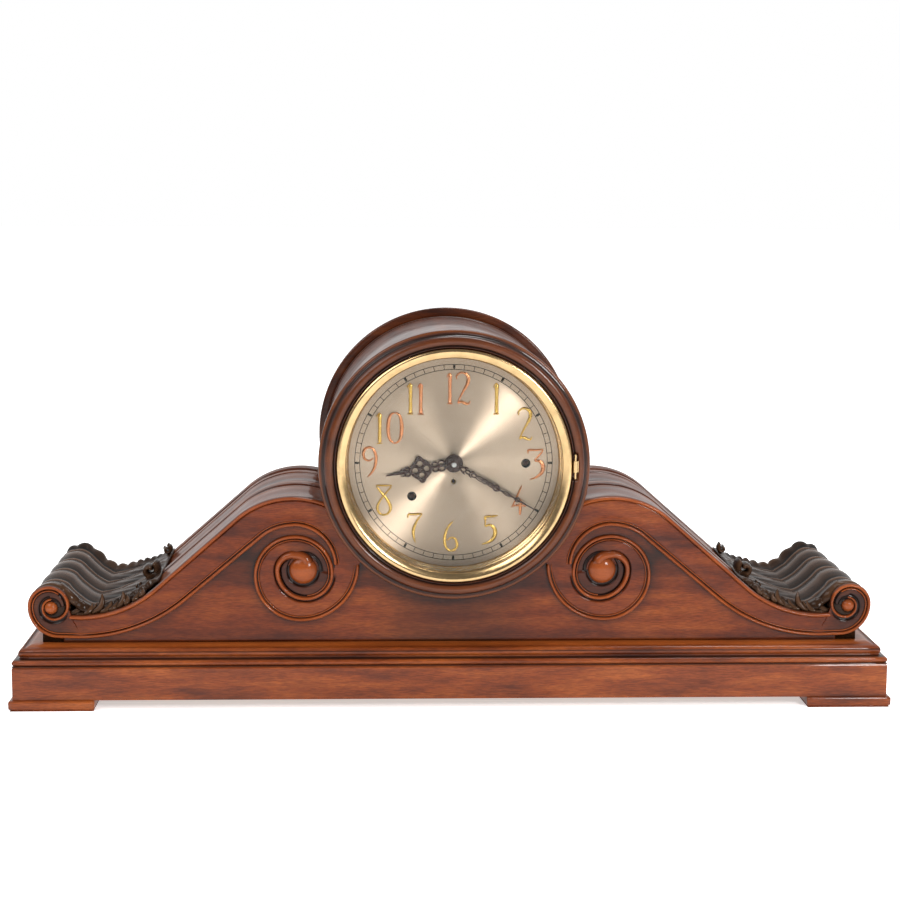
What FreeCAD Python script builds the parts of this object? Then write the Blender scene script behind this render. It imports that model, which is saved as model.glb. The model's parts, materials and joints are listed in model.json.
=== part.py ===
"""Tambour mantel clock with carved scroll shoulders, in millimetres.

+Z is up and the dial faces -Y. The origin is on the floor under the middle of the case.
Each function named make_... builds one sub-part, and main() writes them all to parts/.
"""
import FreeCAD
import Part
import math
import os

# ---- Case: driving sizes -------------------------------------------------------------
PLINTH_WIDTH = 754.0
PLINTH_DEPTH = 220.0
PLINTH_TOP = 37.7
PLINTH_BOARD = 12.0
PLINTH_EDGE = 1.5
FOOT_LENGTH = 73.0
FOOT_DEPTH = 45.0
FOOT_HEIGHT = 8.8
FOOT_PROUD = 3.2
FOOT_OGEE = 3.5
CORNER_BLOCK = 30.0
FLOOR_BOARD = 10.0

MOULDING_HEIGHT = 16.6
MOULDING_INNER = 44.0
BODY_SETBACK = 22.5
BODY_REAR_SETBACK = 12.5
CASE_BOARD = 12.0
COVER_WALL = 8.0
RELIEF_DEPTH = 5.0

# ---- Drum ------------------------------------------------------------------------------
BEZEL_STEP = 3.5
DRUM_WALL = 8.0
DRUM_LIFT = 41.1
FRONT_RING_PROUD = 3.7
FRONT_RING_DEPTH = 19.5
BACK_RING_PROUD = 8.5
BACK_RING_DEPTH = 16.0
BACK_RING_FLANGE = 7.5

# ---- Shoulders, scrolls and rolled ends --------------------------------------------------
SHOULDER_OFFSET = 25.5
SHOULDER_RISE = 51.7
CROWN_RADIUS = 76.0
SWEEP_RISE = 23.7
SWEEP_SHARE = 0.7
ROLL_INSET = 8.5
ROLL_RISE = 30.7
ROLL_RADIUS = 18.0
ROLL_BLOCK = 25.0
BAND_CROWN = 44.0
BAND_RISE = 59.0
BAND_SWEEP_RISE = 5.2
BAND_SWEEP_SHARE = 0.79
VOLUTE_RADIUS = 45.0
VOLUTE_RISE = 59.0
ACANTHUS_LENGTH = 55.0
ACANTHUS_THICKNESS = 3.0
ACANTHUS_MARGIN = 4.0

# ---- Dial, bezel and hands ---------------------------------------------------------------
DIAL_PLATE_RADIUS = 92.0
DIAL_PLATE_WALL = 1.0
DIAL_BACKSET = 23.0
DIAL_BOARD_WALL = 7.0
DIAL_BOARD_BORE = 42.0
SIGHT_RING_LIP = 2.0
SIGHT_RING_FLARE = 8.0
SIGHT_RING_DEPTH = 14.0
BEZEL_WIDTH = 8.5
BEZEL_DEPTH = 8.0
BEZEL_GAP = 0.5
GLASS_WALL = 2.0
GLASS_SEAT = 2.0
NUMERAL_HEIGHT = 27.0
NUMERAL_STROKE = 4.0
NUMERAL_RELIEF = 0.8
NUMERAL_CIRCLE_X = 71.0
NUMERAL_CIRCLE_Z = 64.0
MINUTE_HAND_LENGTH = 82.0
HOUR_HAND_LENGTH = 60.0
MINUTE_HAND_TURN = 119.5
HOUR_HAND_TURN = 259.5
HAND_WALL = 1.0
HOUR_HAND_GAP = 4.0
HOUR_HAND_BOSS = 8.0
MINUTE_HAND_BOSS = 6.0
HAND_NUT_RADIUS = 4.2
MINUTE_HAND_GAP = 8.0
HAND_NUT_DEPTH = 3.0
ARBOR_TIP = 6.0
CANNON_RADIUS = 2.0
HOUR_PIPE_RADIUS = 3.0
WINDING_HOLE = 4.0
REGULATOR_HOLE = 2.2

# ---- Hinges ------------------------------------------------------------------------------
HINGE_HALF = 11.0
KNUCKLE_RADIUS = 1.8
KNUCKLE_SPLIT = 5.0
KNUCKLE_END = 10.0
PIN_RADIUS = 0.9
HINGE_LEAF_WALL = 1.0
HINGE_LEAF_LENGTH = 12.0
DOOR_WALL = 6.0
DOOR_GAP = 0.8
DOOR_KNOB_RADIUS = 5.0
DOOR_KNOB_LENGTH = 6.5

# ---- Movement ----------------------------------------------------------------------------
PLATE_LEFT = 70.0
PLATE_RIGHT = 80.0
PLATE_HALF_HEIGHT = 60.0
PLATE_WALL = 2.0
PLATE_SPACE = 34.0
PILLAR_RADIUS = 4.0
PILLAR_INSET = 7.0
TIME_BARREL_X = -35.8
TIME_BARREL_Z = -28.9
STRIKE_BARREL_X = 62.1
STRIKE_BARREL_Z = -0.4
REGULATOR_DROP = 16.3
REGULATOR_RADIUS = 1.2
ARBOR_RADIUS = 1.1
PIVOT_RADIUS = 0.8
WINDING_ARBOR_RADIUS = 2.5
WINDING_SQUARE = 3.4
BARREL_RADIUS = 25.0
BARREL_GAP = 2.5
GREAT_WHEEL_WALL = 2.5
WHEEL_WALL = 1.5
PINION_LENGTH = 3.6
RATCHET_RADIUS = 9.0
RATCHET_TEETH = 24
RATCHET_WALL = 2.0
CLICK_REACH = 15.0
CLICK_RADIUS = 2.4
CLICK_PIN_RADIUS = 1.2
PENDULUM_LENGTH = 107.0
PENDULUM_WIDTH = 3.0
PENDULUM_WALL = 1.2
BOB_RADIUS = 16.0
BOB_WALL = 8.0
HAMMER_X = 58.0
HAMMER_DROP = 50.0
HAMMER_BOSS = 4.5
HAMMER_ARM = 3.0
HAMMER_HEAD = 5.5
HAMMER_REST_GAP = 2.0
GONG_ROD_RADIUS = 1.5
GONG_ROD_LENGTH = 190.0
GONG_ROD_RISE = 26.0
GONG_ROD_PITCH = 14.0
GONG_BASE_LENGTH = 33.0
GONG_BASE_WIDTH = 34.0
GONG_BASE_LEFT = -95.0

# Teeth on each wheel, leaves on the pinion that it meets, and their module where it is free.
GREAT_TEETH = 60
CENTRE_LEAVES = 12
CENTRE_TEETH = 84
THIRD_LEAVES = 7
THIRD_MODULE = 0.5
THIRD_TEETH = 84
ESCAPE_LEAVES = 7
ESCAPE_MODULE = 0.45
ESCAPE_TEETH = 36
ESCAPE_RADIUS = 10.0
ESCAPE_TOOTH = 1.7
CANNON_LEAVES = 12
MINUTE_TEETH = 36
MINUTE_LEAVES = 10
HOUR_TEETH = 40
MOTION_DISTANCE = 17.0
STRIKE_GREAT_TEETH = 72
PIN_LEAVES = 12
PIN_TEETH = 64
FLY_LEAVES = 8
STRIKE_MODULE = 0.9
FLY_MODULE = 0.6

# ---- Clearances --------------------------------------------------------------------------
RUNNING_FIT = 0.06
PLAY = 0.4
SIDE_PLAY = 0.5

# ---- Tooth form, as shares of the module or of the tooth pitch ------------------------------
ADDENDUM = 0.7
DEDENDUM = 1.0
ROOT_HALF_WIDTH = 0.24
TIP_HALF_WIDTH = 0.08

# ---- Places worked out from the sizes above --------------------------------------------------
PLINTH_FRONT = -PLINTH_DEPTH / 2
PLINTH_BACK = PLINTH_DEPTH / 2
MOULDING_TOP = PLINTH_TOP + MOULDING_HEIGHT
BODY_WIDTH = PLINTH_WIDTH - 2 * BODY_SETBACK
BODY_FRONT = PLINTH_FRONT + BODY_SETBACK
BODY_BACK = PLINTH_BACK - BODY_REAR_SETBACK
RELIEF_FRONT = BODY_FRONT - RELIEF_DEPTH
BEZEL_RADIUS = DIAL_PLATE_RADIUS + BEZEL_WIDTH
DRUM_BORE = BEZEL_RADIUS + BEZEL_STEP
DRUM_RADIUS = DRUM_BORE + DRUM_WALL
RING_RADIUS = DRUM_RADIUS + FRONT_RING_PROUD
AXIS_Z = MOULDING_TOP + DRUM_LIFT + RING_RADIUS
RING_FRONT = RELIEF_FRONT - FRONT_RING_DEPTH
ROLL_X = BODY_WIDTH / 2 - ROLL_INSET
ROLL_Z = MOULDING_TOP + ROLL_RISE
COVER_END_X = ROLL_X - ROLL_BLOCK
SHOULDER_X = DRUM_RADIUS + SHOULDER_OFFSET
DIAL_FRONT = RING_FRONT + DIAL_BACKSET
DIAL_BACK = DIAL_FRONT + DIAL_PLATE_WALL
BOARD_BACK = DIAL_BACK + DIAL_BOARD_WALL
FRONT_PLATE_BACK = BOARD_BACK + PLATE_WALL
BACK_PLATE_FRONT = FRONT_PLATE_BACK + PLATE_SPACE
BACK_PLATE_BACK = BACK_PLATE_FRONT + PLATE_WALL
BARREL_PLACES = {"time": (TIME_BARREL_X, TIME_BARREL_Z), "strike": (STRIKE_BARREL_X, STRIKE_BARREL_Z)}


def vec(x, y, z):
    """Return a point or a direction."""
    return FreeCAD.Vector(x, y, z)


def fuse(shapes):
    """Join touching shapes into one clean solid."""
    whole = shapes[0].fuse(shapes[1:]) if len(shapes) > 1 else shapes[0]
    return whole.removeSplitter()


def group(shapes):
    """Keep separate solids together under one name."""
    return Part.makeCompound([solid for shape in shapes for solid in shape.Solids])


def mirror(shape):
    """Return the same shape on the other side of the case."""
    return shape.mirror(vec(0, 0, 0), vec(1, 0, 0))


def block(x0, x1, y0, y1, z0, z1):
    """Return a box between two corners."""
    return Part.makeBox(x1 - x0, y1 - y0, z1 - z0, vec(x0, y0, z0))


def prism(points, y0, y1):
    """Extrude a closed (x, z) outline from y0 to y1."""
    corners = [vec(x, y0, z) for x, z in points]
    face = Part.Face(Part.makePolygon(corners + corners[:1]))
    return face.extrude(vec(0, y1 - y0, 0))


def rod(radius, y0, y1, x=0.0, z=AXIS_Z):
    """Return a round bar along Y."""
    return Part.makeCylinder(radius, y1 - y0, vec(x, y0, z), vec(0, 1, 0))


def tube(outer, inner, y0, y1, x=0.0, z=AXIS_Z):
    """Return a hollow round bar along Y."""
    return rod(outer, y0, y1, x, z).cut(rod(inner, y0 - 1, y1 + 1, x, z))


def lathe(profile, x=0.0, z=AXIS_Z):
    """Turn a closed profile of (radius, y) points about an axis along Y."""
    corners = [vec(x + radius, y, z) for radius, y in profile]
    face = Part.Face(Part.makePolygon(corners + corners[:1]))
    return face.revolve(vec(x, 0, z), vec(0, 1, 0), 360)


def arc(centre, radius, start, middle, end):
    """Return an arc in the XZ plane through three bearings in degrees."""
    marks = []
    for bearing in (start, middle, end):
        turn = math.radians(bearing)
        marks.append(vec(centre[0] + radius * math.cos(turn), 0, centre[1] + radius * math.sin(turn)))
    return Part.Arc(*marks).toShape()


# ---- Plinth ------------------------------------------------------------------------------

def make_corner_feet():
    """Low bracket feet under the four corners, a little proud of the plinth."""
    half_width = PLINTH_WIDTH / 2
    half_depth = PLINTH_DEPTH / 2
    heel = half_width + FOOT_PROUD
    toe = heel - FOOT_LENGTH
    cove = FOOT_HEIGHT - FOOT_PROUD
    side = [
        (toe + FOOT_OGEE, 0), (heel, 0), (heel, cove), (half_width, FOOT_HEIGHT),
        (toe - FOOT_OGEE, FOOT_HEIGHT), (toe - FOOT_OGEE / 2, cove), (toe + FOOT_OGEE / 2, FOOT_OGEE),
    ]
    front = -half_depth - FOOT_PROUD
    long_shape = prism(side, front, front + FOOT_DEPTH)
    end = [
        (front, 0), (front + FOOT_DEPTH, 0), (front + FOOT_DEPTH, FOOT_HEIGHT),
        (-half_depth, FOOT_HEIGHT), (front, cove),
    ]
    corners = [vec(toe - 2 * FOOT_OGEE, y, z) for y, z in end]
    cross = Part.Face(Part.makePolygon(corners + corners[:1]))
    foot = long_shape.common(cross.extrude(vec(FOOT_LENGTH + 4 * FOOT_OGEE, 0, 0)))
    feet = [foot, mirror(foot)]
    feet += [each.mirror(vec(0, 0, 0), vec(0, 1, 0)) for each in feet]
    return group(feet)


def mitred_board(length, depth, profile):
    """Sweep an (inset, z) profile along the front of a rectangle and mitre both ends."""
    half = length / 2
    corners = [vec(-half, -depth / 2 + inset, z) for inset, z in profile]
    bar = Part.Face(Part.makePolygon(corners + corners[:1])).extrude(vec(length, 0, 0))
    reach = max(inset for inset, _ in profile)
    low = min(z for _, z in profile)
    high = max(z for _, z in profile)
    front = -depth / 2
    plan = [
        vec(-half, front, low), vec(half, front, low),
        vec(half - reach, front + reach, low), vec(reach - half, front + reach, low),
    ]
    cutter = Part.Face(Part.makePolygon(plan + plan[:1])).extrude(vec(0, 0, high - low))
    return bar.common(cutter)


def frame_sides(profile):
    """Return front, back, left and right mitred lengths of one profile round the plinth."""
    front = mitred_board(PLINTH_WIDTH, PLINTH_DEPTH, profile)
    back = front.mirror(vec(0, 0, 0), vec(0, 1, 0))
    left = mitred_board(PLINTH_DEPTH, PLINTH_WIDTH, profile)
    left.rotate(vec(0, 0, 0), vec(0, 0, 1), -90)
    right = mirror(left)
    return front, back, left, right


def plinth_profile():
    """Flat board with its top outer edge eased."""
    return [
        (0, FOOT_HEIGHT), (PLINTH_BOARD, FOOT_HEIGHT), (PLINTH_BOARD, PLINTH_TOP),
        (PLINTH_EDGE, PLINTH_TOP), (PLINTH_EDGE * 0.3, PLINTH_TOP - PLINTH_EDGE * 0.3),
        (0, PLINTH_TOP - PLINTH_EDGE),
    ]


BEAD_RADIUS = 2.3  # large bead at the foot of the moulding
BEAD_INSET = 2.6  # its middle, in from the plinth's face
COVE_WIDTH = 12.51  # hollow above the bead
COVE_RISE = 6.3


def moulding_profile():
    """Quirk, bead, cove, small bead and fillet, from the plinth's top to the platform."""
    z = PLINTH_TOP
    cove = []
    for step in range(7):
        turn = math.radians(90 - step * 12)
        inset = 2.5 + COVE_WIDTH * (1 - math.sin(turn))
        cove.append((inset, z + 5.8 + COVE_RISE * math.cos(turn)))
    bead = []
    for step in range(7):
        turn = math.radians(-90 + step * 30)
        inset = BEAD_INSET - BEAD_RADIUS * math.cos(turn)
        bead.append((inset, z + 3.5 + BEAD_RADIUS * math.sin(turn)))
    return [(MOULDING_INNER, z), (BEAD_INSET, z)] + bead + cove + [
        (12.2, z + 12.0), (11.6, z + 13.0), (12.2, z + 14.0), (14.6, z + 14.4), (15.0, z + MOULDING_HEIGHT),
        (MOULDING_INNER, z + MOULDING_HEIGHT),
    ]


def make_base_floor():
    """Bottom board let in flush with the plinth's top."""
    x = PLINTH_WIDTH / 2 - PLINTH_BOARD
    y = PLINTH_DEPTH / 2 - PLINTH_BOARD
    return block(-x, x, -y, y, PLINTH_TOP - FLOOR_BOARD, PLINTH_TOP)


def make_corner_blocks():
    """Triangular glue blocks behind the plinth's corners, over the feet."""
    x = PLINTH_WIDTH / 2 - PLINTH_BOARD
    y = PLINTH_DEPTH / 2 - PLINTH_BOARD
    top = PLINTH_TOP - FLOOR_BOARD
    blocks = []
    for side_x in (-1, 1):
        for side_y in (-1, 1):
            plan = [
                vec(side_x * x, side_y * y, FOOT_HEIGHT),
                vec(side_x * (x - CORNER_BLOCK), side_y * y, FOOT_HEIGHT),
                vec(side_x * x, side_y * (y - CORNER_BLOCK), FOOT_HEIGHT),
            ]
            face = Part.Face(Part.makePolygon(plan + plan[:1]))
            blocks.append(face.extrude(vec(0, 0, top - FOOT_HEIGHT)))
    return group(blocks)


# ---- Shoulders ---------------------------------------------------------------------------

class Sweep:
    """Crown arc, straight run and hollow arc that meet tangentially, right of the drum."""

    def __init__(self, crown_radius, crown_z, low_z, share):
        """Work out the hollow arc and the tangent bearing for one shoulder line."""
        span = COVER_END_X - SHOULDER_X
        drop = crown_z - low_z
        longest = (span * span + drop * drop - crown_radius ** 2) / (2 * (crown_radius + drop))
        self.crown = (SHOULDER_X, crown_z)
        self.crown_radius = crown_radius
        self.hollow_radius = share * longest
        self.hollow = (SHOULDER_X + span, low_z + self.hollow_radius)
        reach = math.hypot(span, self.hollow[1] - crown_z)
        slope = math.atan2(self.hollow[1] - crown_z, span)
        self.bearing = math.degrees(slope + math.acos((crown_radius + self.hollow_radius) / reach))

    def edges(self, inward, start):
        """Return the line's edges, moved inward, from a bearing on the crown to the bottom."""
        crown_radius = self.crown_radius - inward
        hollow_radius = self.hollow_radius + inward
        crown = arc(self.crown, crown_radius, start, (start + self.bearing) / 2, self.bearing)
        low = self.bearing + 180
        hollow = arc(self.hollow, hollow_radius, low, (low + 270) / 2, 270)
        run = Part.makeLine(crown.Vertexes[-1].Point, hollow.Vertexes[0].Point)
        return [crown, run, hollow]


OUTER_SWEEP = Sweep(CROWN_RADIUS, MOULDING_TOP + SHOULDER_RISE, MOULDING_TOP + SWEEP_RISE, SWEEP_SHARE)
INNER_SWEEP = Sweep(BAND_CROWN, MOULDING_TOP + BAND_RISE, MOULDING_TOP + BAND_SWEEP_RISE, BAND_SWEEP_SHARE)
CROWN_START = 140.0


def region_below(sweep, inward, end_x, y0, y1):
    """Return the solid between a shoulder line and the platform, out to end_x."""
    edges = sweep.edges(inward, CROWN_START)
    first = edges[0].Vertexes[0].Point
    last = edges[-1].Vertexes[-1].Point
    corners = [last, vec(end_x, 0, last.z), vec(end_x, 0, MOULDING_TOP), vec(0, 0, MOULDING_TOP)]
    corners += [vec(0, 0, first.z), first]
    sides = [Part.makeLine(a, b) for a, b in zip(corners, corners[1:]) if a.distanceToPoint(b) > 1e-6]
    face = Part.Face(Part.Wire(Part.__sortEdges__(edges + sides)))
    face.translate(vec(0, y0, 0))
    return face.extrude(vec(0, y1 - y0, 0))


def cover_profile():
    """Moulded top of the shoulders along its depth: (share of the depth, sink) points."""
    return [
        (0.0, 1.2), (0.02, 0.0), (0.09, 0.0), (0.11, 1.5), (0.13, 2.2), (0.2, 3.4), (0.3, 3.8), (0.4, 2.4),
        (0.46, 0.8), (0.475, 2.4), (0.49, 0.6), (0.53, 0.0), (0.56, 0.6), (0.575, 3.0), (0.66, 3.6),
        (0.76, 2.6), (0.79, 1.4), (0.81, 1.4), (0.83, 3.0), (0.88, 3.0), (0.9, 0.8), (0.93, 0.0),
        (0.98, 0.0), (1.0, 1.2),
    ]


def make_shoulder_right():
    """Moulded board bent down from the drum to the rolled end."""
    depth = BODY_BACK - BODY_FRONT
    path = Part.Wire(OUTER_SWEEP.edges(0, CROWN_START))
    start = path.Vertexes[0].Point
    outward = vec(start.x - OUTER_SWEEP.crown[0], 0, start.z - OUTER_SWEEP.crown[1])
    outward.normalize()
    corners = []
    for share, sink in cover_profile():
        corners.append(start + vec(0, BODY_FRONT + share * depth, 0) - outward * sink)
    corners.append(start + vec(0, BODY_BACK, 0) - outward * COVER_WALL)
    corners.append(start + vec(0, BODY_FRONT, 0) - outward * COVER_WALL)
    profile = Part.makePolygon(corners + corners[:1])
    cover = path.makePipeShell([profile], True, True)
    cover = Part.Solid(cover) if cover.ShapeType != "Solid" else cover
    keep = block(SHOULDER_X - DRUM_RADIUS, COVER_END_X, BODY_FRONT, BODY_BACK, MOULDING_TOP, AXIS_Z)
    cover = cover.common(keep)
    return cover.cut(rod(DRUM_RADIUS, BODY_FRONT - 1, BODY_BACK + 1))


def case_board(y0, y1):
    """Flat board that closes the case between the platform, the covers and the drum."""
    right = region_below(OUTER_SWEEP, COVER_WALL, COVER_END_X, y0, y1)
    board = fuse([right, mirror(right)])
    return board.cut(rod(DRUM_RADIUS, y0 - 1, y1 + 1))


def end_roll_outline():
    """Return the rolled end's section: a round on a low block."""
    outer = BODY_WIDTH / 2
    block_top = MOULDING_TOP + SWEEP_RISE
    points = [
        (COVER_END_X, MOULDING_TOP), (outer, MOULDING_TOP), (outer, ROLL_Z - ROLL_RADIUS / 2),
        (ROLL_X, ROLL_Z), (ROLL_X - ROLL_RADIUS * 0.6, block_top), (COVER_END_X, block_top),
    ]
    return points


def make_end_roll_right():
    """Solid end of the case, carved into a roll that lies front to back."""
    foot = prism(end_roll_outline(), BODY_FRONT, BODY_BACK)
    return fuse([foot, rod(ROLL_RADIUS, BODY_FRONT, BODY_BACK, ROLL_X, ROLL_Z)])


def make_scroll_carving_right():
    """Carved front: band along the shoulder, volute beside the drum and eye on the roll."""
    front, back = RELIEF_FRONT, BODY_FRONT
    band = region_below(OUTER_SWEEP, 0, COVER_END_X, front, back)
    below = region_below(INNER_SWEEP, 0, COVER_END_X + 1, front - 1, back + 1)
    band = band.cut(below)
    volute = rod(VOLUTE_RADIUS, front, back, SHOULDER_X - 0.5, MOULDING_TOP + VOLUTE_RISE)
    eye = rod(ROLL_RADIUS, front, back, ROLL_X, ROLL_Z)
    link = block(
        COVER_END_X, ROLL_X, front, back,
        MOULDING_TOP + BAND_SWEEP_RISE, MOULDING_TOP + SWEEP_RISE,
    )
    carving = fuse([band, volute, eye, link])
    carving = carving.cut(rod(DRUM_RADIUS, front - 1, back + 1))
    keep = block(0, BODY_WIDTH, front, back, MOULDING_TOP, AXIS_Z + DRUM_RADIUS)
    inner = block(0, SHOULDER_X - VOLUTE_RADIUS, front - 1, back + 1, MOULDING_TOP, AXIS_Z)
    return carving.common(keep).cut(inner)


def make_acanthus_right():
    """Carved leaf laid over the valley between the shoulder and the roll."""
    front = BODY_FRONT + ACANTHUS_MARGIN
    back = BODY_BACK - ACANTHUS_MARGIN
    high = region_below(OUTER_SWEEP, -ACANTHUS_THICKNESS, ROLL_X, front, back)
    leaf = high.common(block(COVER_END_X - ACANTHUS_LENGTH, ROLL_X, front, back, MOULDING_TOP, AXIS_Z))
    hood = tube(ROLL_RADIUS + ACANTHUS_THICKNESS, ROLL_RADIUS, front, back, ROLL_X, ROLL_Z)
    hood = hood.common(block(COVER_END_X, BODY_WIDTH / 2, front, back, MOULDING_TOP + SWEEP_RISE, AXIS_Z))
    leaf = fuse([leaf, hood])
    leaf = leaf.cut(region_below(OUTER_SWEEP, 0, ROLL_X, front - 1, back + 1))
    return leaf.cut(rod(ROLL_RADIUS, front - 1, back + 1, ROLL_X, ROLL_Z))


# ---- Drum --------------------------------------------------------------------------------

def make_drum_shell():
    """Barrel that goes through the case, open below so that the hammer reaches the gong."""
    shell = tube(DRUM_RADIUS, DRUM_BORE, RELIEF_FRONT, BODY_BACK)
    half = DRUM_BORE * 0.62
    slot = block(
        -half, half, BACK_PLATE_FRONT, BODY_BACK - CASE_BOARD * 2,
        AXIS_Z - 2 * DRUM_RADIUS, AXIS_Z - DRUM_BORE * 0.7,
    )
    return shell.cut(slot)


def make_drum_front_ring():
    """Turned ring round the bezel: edge bead, cove, half-round and small inner bead."""
    y = RING_FRONT
    bore = BEZEL_RADIUS + BEZEL_GAP
    width = RING_RADIUS - bore
    section = [
        (bore, RELIEF_FRONT),
        (bore, y + 2.2),
        (bore + 0.6, y + 1.6),
        (bore + 1.3, y + 2.4),
        (bore + 1.6, y + 3.4),
    ]
    middle = bore + width * 0.36
    roll = width * 0.26
    for step in range(9):
        turn = math.radians(180 - step * 22.5)
        section.append((middle + roll * math.cos(turn), y + roll * 1.35 - roll * 1.35 * math.sin(turn)))
    edge = RING_RADIUS - 1.2
    section += [
        (edge - 4.4, y + 6.4), (edge - 3.2, y + 8.2), (edge - 1.4, y + 8.4), (edge - 0.4, y + 7.6),
        (edge + 0.8, y + 7.9), (RING_RADIUS, y + 9.0), (RING_RADIUS, y + 11.5),
        (RING_RADIUS - 1.0, y + 13.0), (RING_RADIUS - 1.4, RELIEF_FRONT),
    ]
    ring = lathe(section)
    low, high = AXIS_Z - HINGE_HALF, AXIS_Z + HINGE_HALF
    hinge = block(bore - 3, bore + 4.2, RING_FRONT - 2, RING_FRONT + 6.2, low, high)
    return ring.cut(hinge)


def make_drum_back_ring():
    """Groove, bead and flange at the rear of the barrel, clear of the hinged door."""
    y0 = BODY_BACK
    y1 = BODY_BACK + BACK_RING_FLANGE
    outer = DRUM_RADIUS + BACK_RING_PROUD
    section = [
        (DRUM_BORE, y0), (DRUM_RADIUS + 3.2, y0), (outer - 2, y0 + 0.4), (outer, y0 + 2.0),
        (outer, y1 - 1.6), (outer - 1.6, y1), (DRUM_BORE, y1),
    ]
    return lathe(section)


# ---- Dial --------------------------------------------------------------------------------

def make_dial_board():
    """Board that fills the barrel behind the dial and carries the movement."""
    board = tube(DRUM_BORE, DIAL_BOARD_BORE, DIAL_BACK, BOARD_BACK)
    for x, z in (BARREL_PLACES["time"], BARREL_PLACES["strike"]):
        board = board.cut(rod(WINDING_HOLE + 1, DIAL_BACK - 1, BOARD_BACK + 1, x, AXIS_Z + z))
    return board


def make_dial_plate():
    """Silvered dial with its centre, winding and regulator holes."""
    plate = rod(DIAL_PLATE_RADIUS, DIAL_FRONT, DIAL_BACK)
    plate = plate.cut(rod(HOUR_PIPE_RADIUS + PLAY, DIAL_FRONT - 1, DIAL_BACK + 1))
    for x, z in (BARREL_PLACES["time"], BARREL_PLACES["strike"]):
        plate = plate.cut(rod(WINDING_HOLE, DIAL_FRONT - 1, DIAL_BACK + 1, x, AXIS_Z + z))
    return plate.cut(rod(REGULATOR_HOLE, DIAL_FRONT - 1, DIAL_BACK + 1, 0, AXIS_Z - REGULATOR_DROP))


def make_dial_sight_ring():
    """Polished sloping ring between the dial's edge and the bezel."""
    bore = DIAL_PLATE_RADIUS - SIGHT_RING_LIP
    wide = bore + SIGHT_RING_FLARE
    front = DIAL_FRONT - SIGHT_RING_DEPTH
    section = [
        (bore, DIAL_FRONT), (bore, DIAL_FRONT - 0.8), (wide, front), (wide + 1.2, front),
        (wide + 1.2, DIAL_FRONT - 1.2), (DRUM_BORE - 0.5, DIAL_FRONT - 1.2), (DRUM_BORE - 0.5, DIAL_FRONT),
    ]
    return lathe(section)


# Segments of a block numeral: (start column, start row, end column, end row) on a 1 by 2 grid.
BARS = {
    "top": (0, 2, 1, 2), "middle": (0, 1, 1, 1), "bottom": (0, 0, 1, 0), "upper_left": (0, 1, 0, 2),
    "upper_right": (1, 1, 1, 2), "lower_left": (0, 0, 0, 1), "lower_right": (1, 0, 1, 1),
}
DIGITS = {
    "0": ("top", "bottom", "upper_left", "upper_right", "lower_left", "lower_right"),
    "1": ("upper_right", "lower_right"),
    "2": ("top", "upper_right", "middle", "lower_left", "bottom"),
    "3": ("top", "upper_right", "middle", "lower_right", "bottom"),
    "4": ("upper_left", "middle", "upper_right", "lower_right"),
    "5": ("top", "upper_left", "middle", "lower_right", "bottom"),
    "6": ("top", "upper_left", "middle", "lower_left", "lower_right", "bottom"),
    "7": ("top", "upper_right", "lower_right"),
    "8": ("top", "bottom", "upper_left", "upper_right", "lower_left", "lower_right", "middle"),
    "9": ("top", "bottom", "upper_left", "upper_right", "lower_right", "middle"),
}


def digit(name, x, z):
    """Return one raised digit with its middle at (x, z)."""
    rise = (NUMERAL_HEIGHT - NUMERAL_STROKE) / 2
    width = NUMERAL_STROKE * 2
    half = NUMERAL_STROKE / 2
    left = x - (0 if name == "1" else width / 2)
    offset = -width if name == "1" else 0
    bars = []
    for bar in DIGITS[name]:
        column0, row0, column1, row1 = BARS[bar]
        bars.append(block(
            left + offset + column0 * width - half, left + offset + column1 * width + half,
            DIAL_FRONT - NUMERAL_RELIEF, DIAL_FRONT,
            z + (row0 - 1) * rise - half, z + (row1 - 1) * rise + half,
        ))
    return fuse(bars)


def make_dial_numerals():
    """Twelve raised upright numerals round the dial."""
    numerals = []
    for hour in range(1, 13):
        turn = math.radians(30 * hour)
        x = NUMERAL_CIRCLE_X * math.sin(turn)
        z = AXIS_Z + NUMERAL_CIRCLE_Z * math.cos(turn)
        text = str(hour)
        gap = NUMERAL_STROKE * 1.9
        for place, name in enumerate(text):
            numerals.append(digit(name, x + (place - (len(text) - 1) / 2) * gap * 1.25, z))
    holes = [
        rod(WINDING_HOLE + 1, DIAL_FRONT - 5, DIAL_FRONT + 1, x, AXIS_Z + z)
        for x, z in BARREL_PLACES.values()
    ]
    return group([numeral.cut(holes) for numeral in numerals])


# ---- Bezel and back door --------------------------------------------------------------------

BEZEL_BORE = BEZEL_RADIUS + BEZEL_GAP
BEZEL_HINGE = (BEZEL_BORE + 1.6, RING_FRONT + 0.8)
DOOR_FACE = BODY_BACK + BACK_RING_FLANGE
DOOR_HINGE = (DRUM_BORE + 1.0, DOOR_FACE + KNUCKLE_RADIUS + 0.1)
GLASS_RADIUS = BEZEL_RADIUS - 2.9


def upright(radius, x, y, low, high):
    """Return a round bar along Z, with heights measured from the drum's axis."""
    return Part.makeCylinder(radius, high - low, vec(x, y, AXIS_Z + low))


def both_ends(low, high, make):
    """Join what make(low, high) returns above and below the drum's axis."""
    return [make(low, high), make(-high, -low)]


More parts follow.
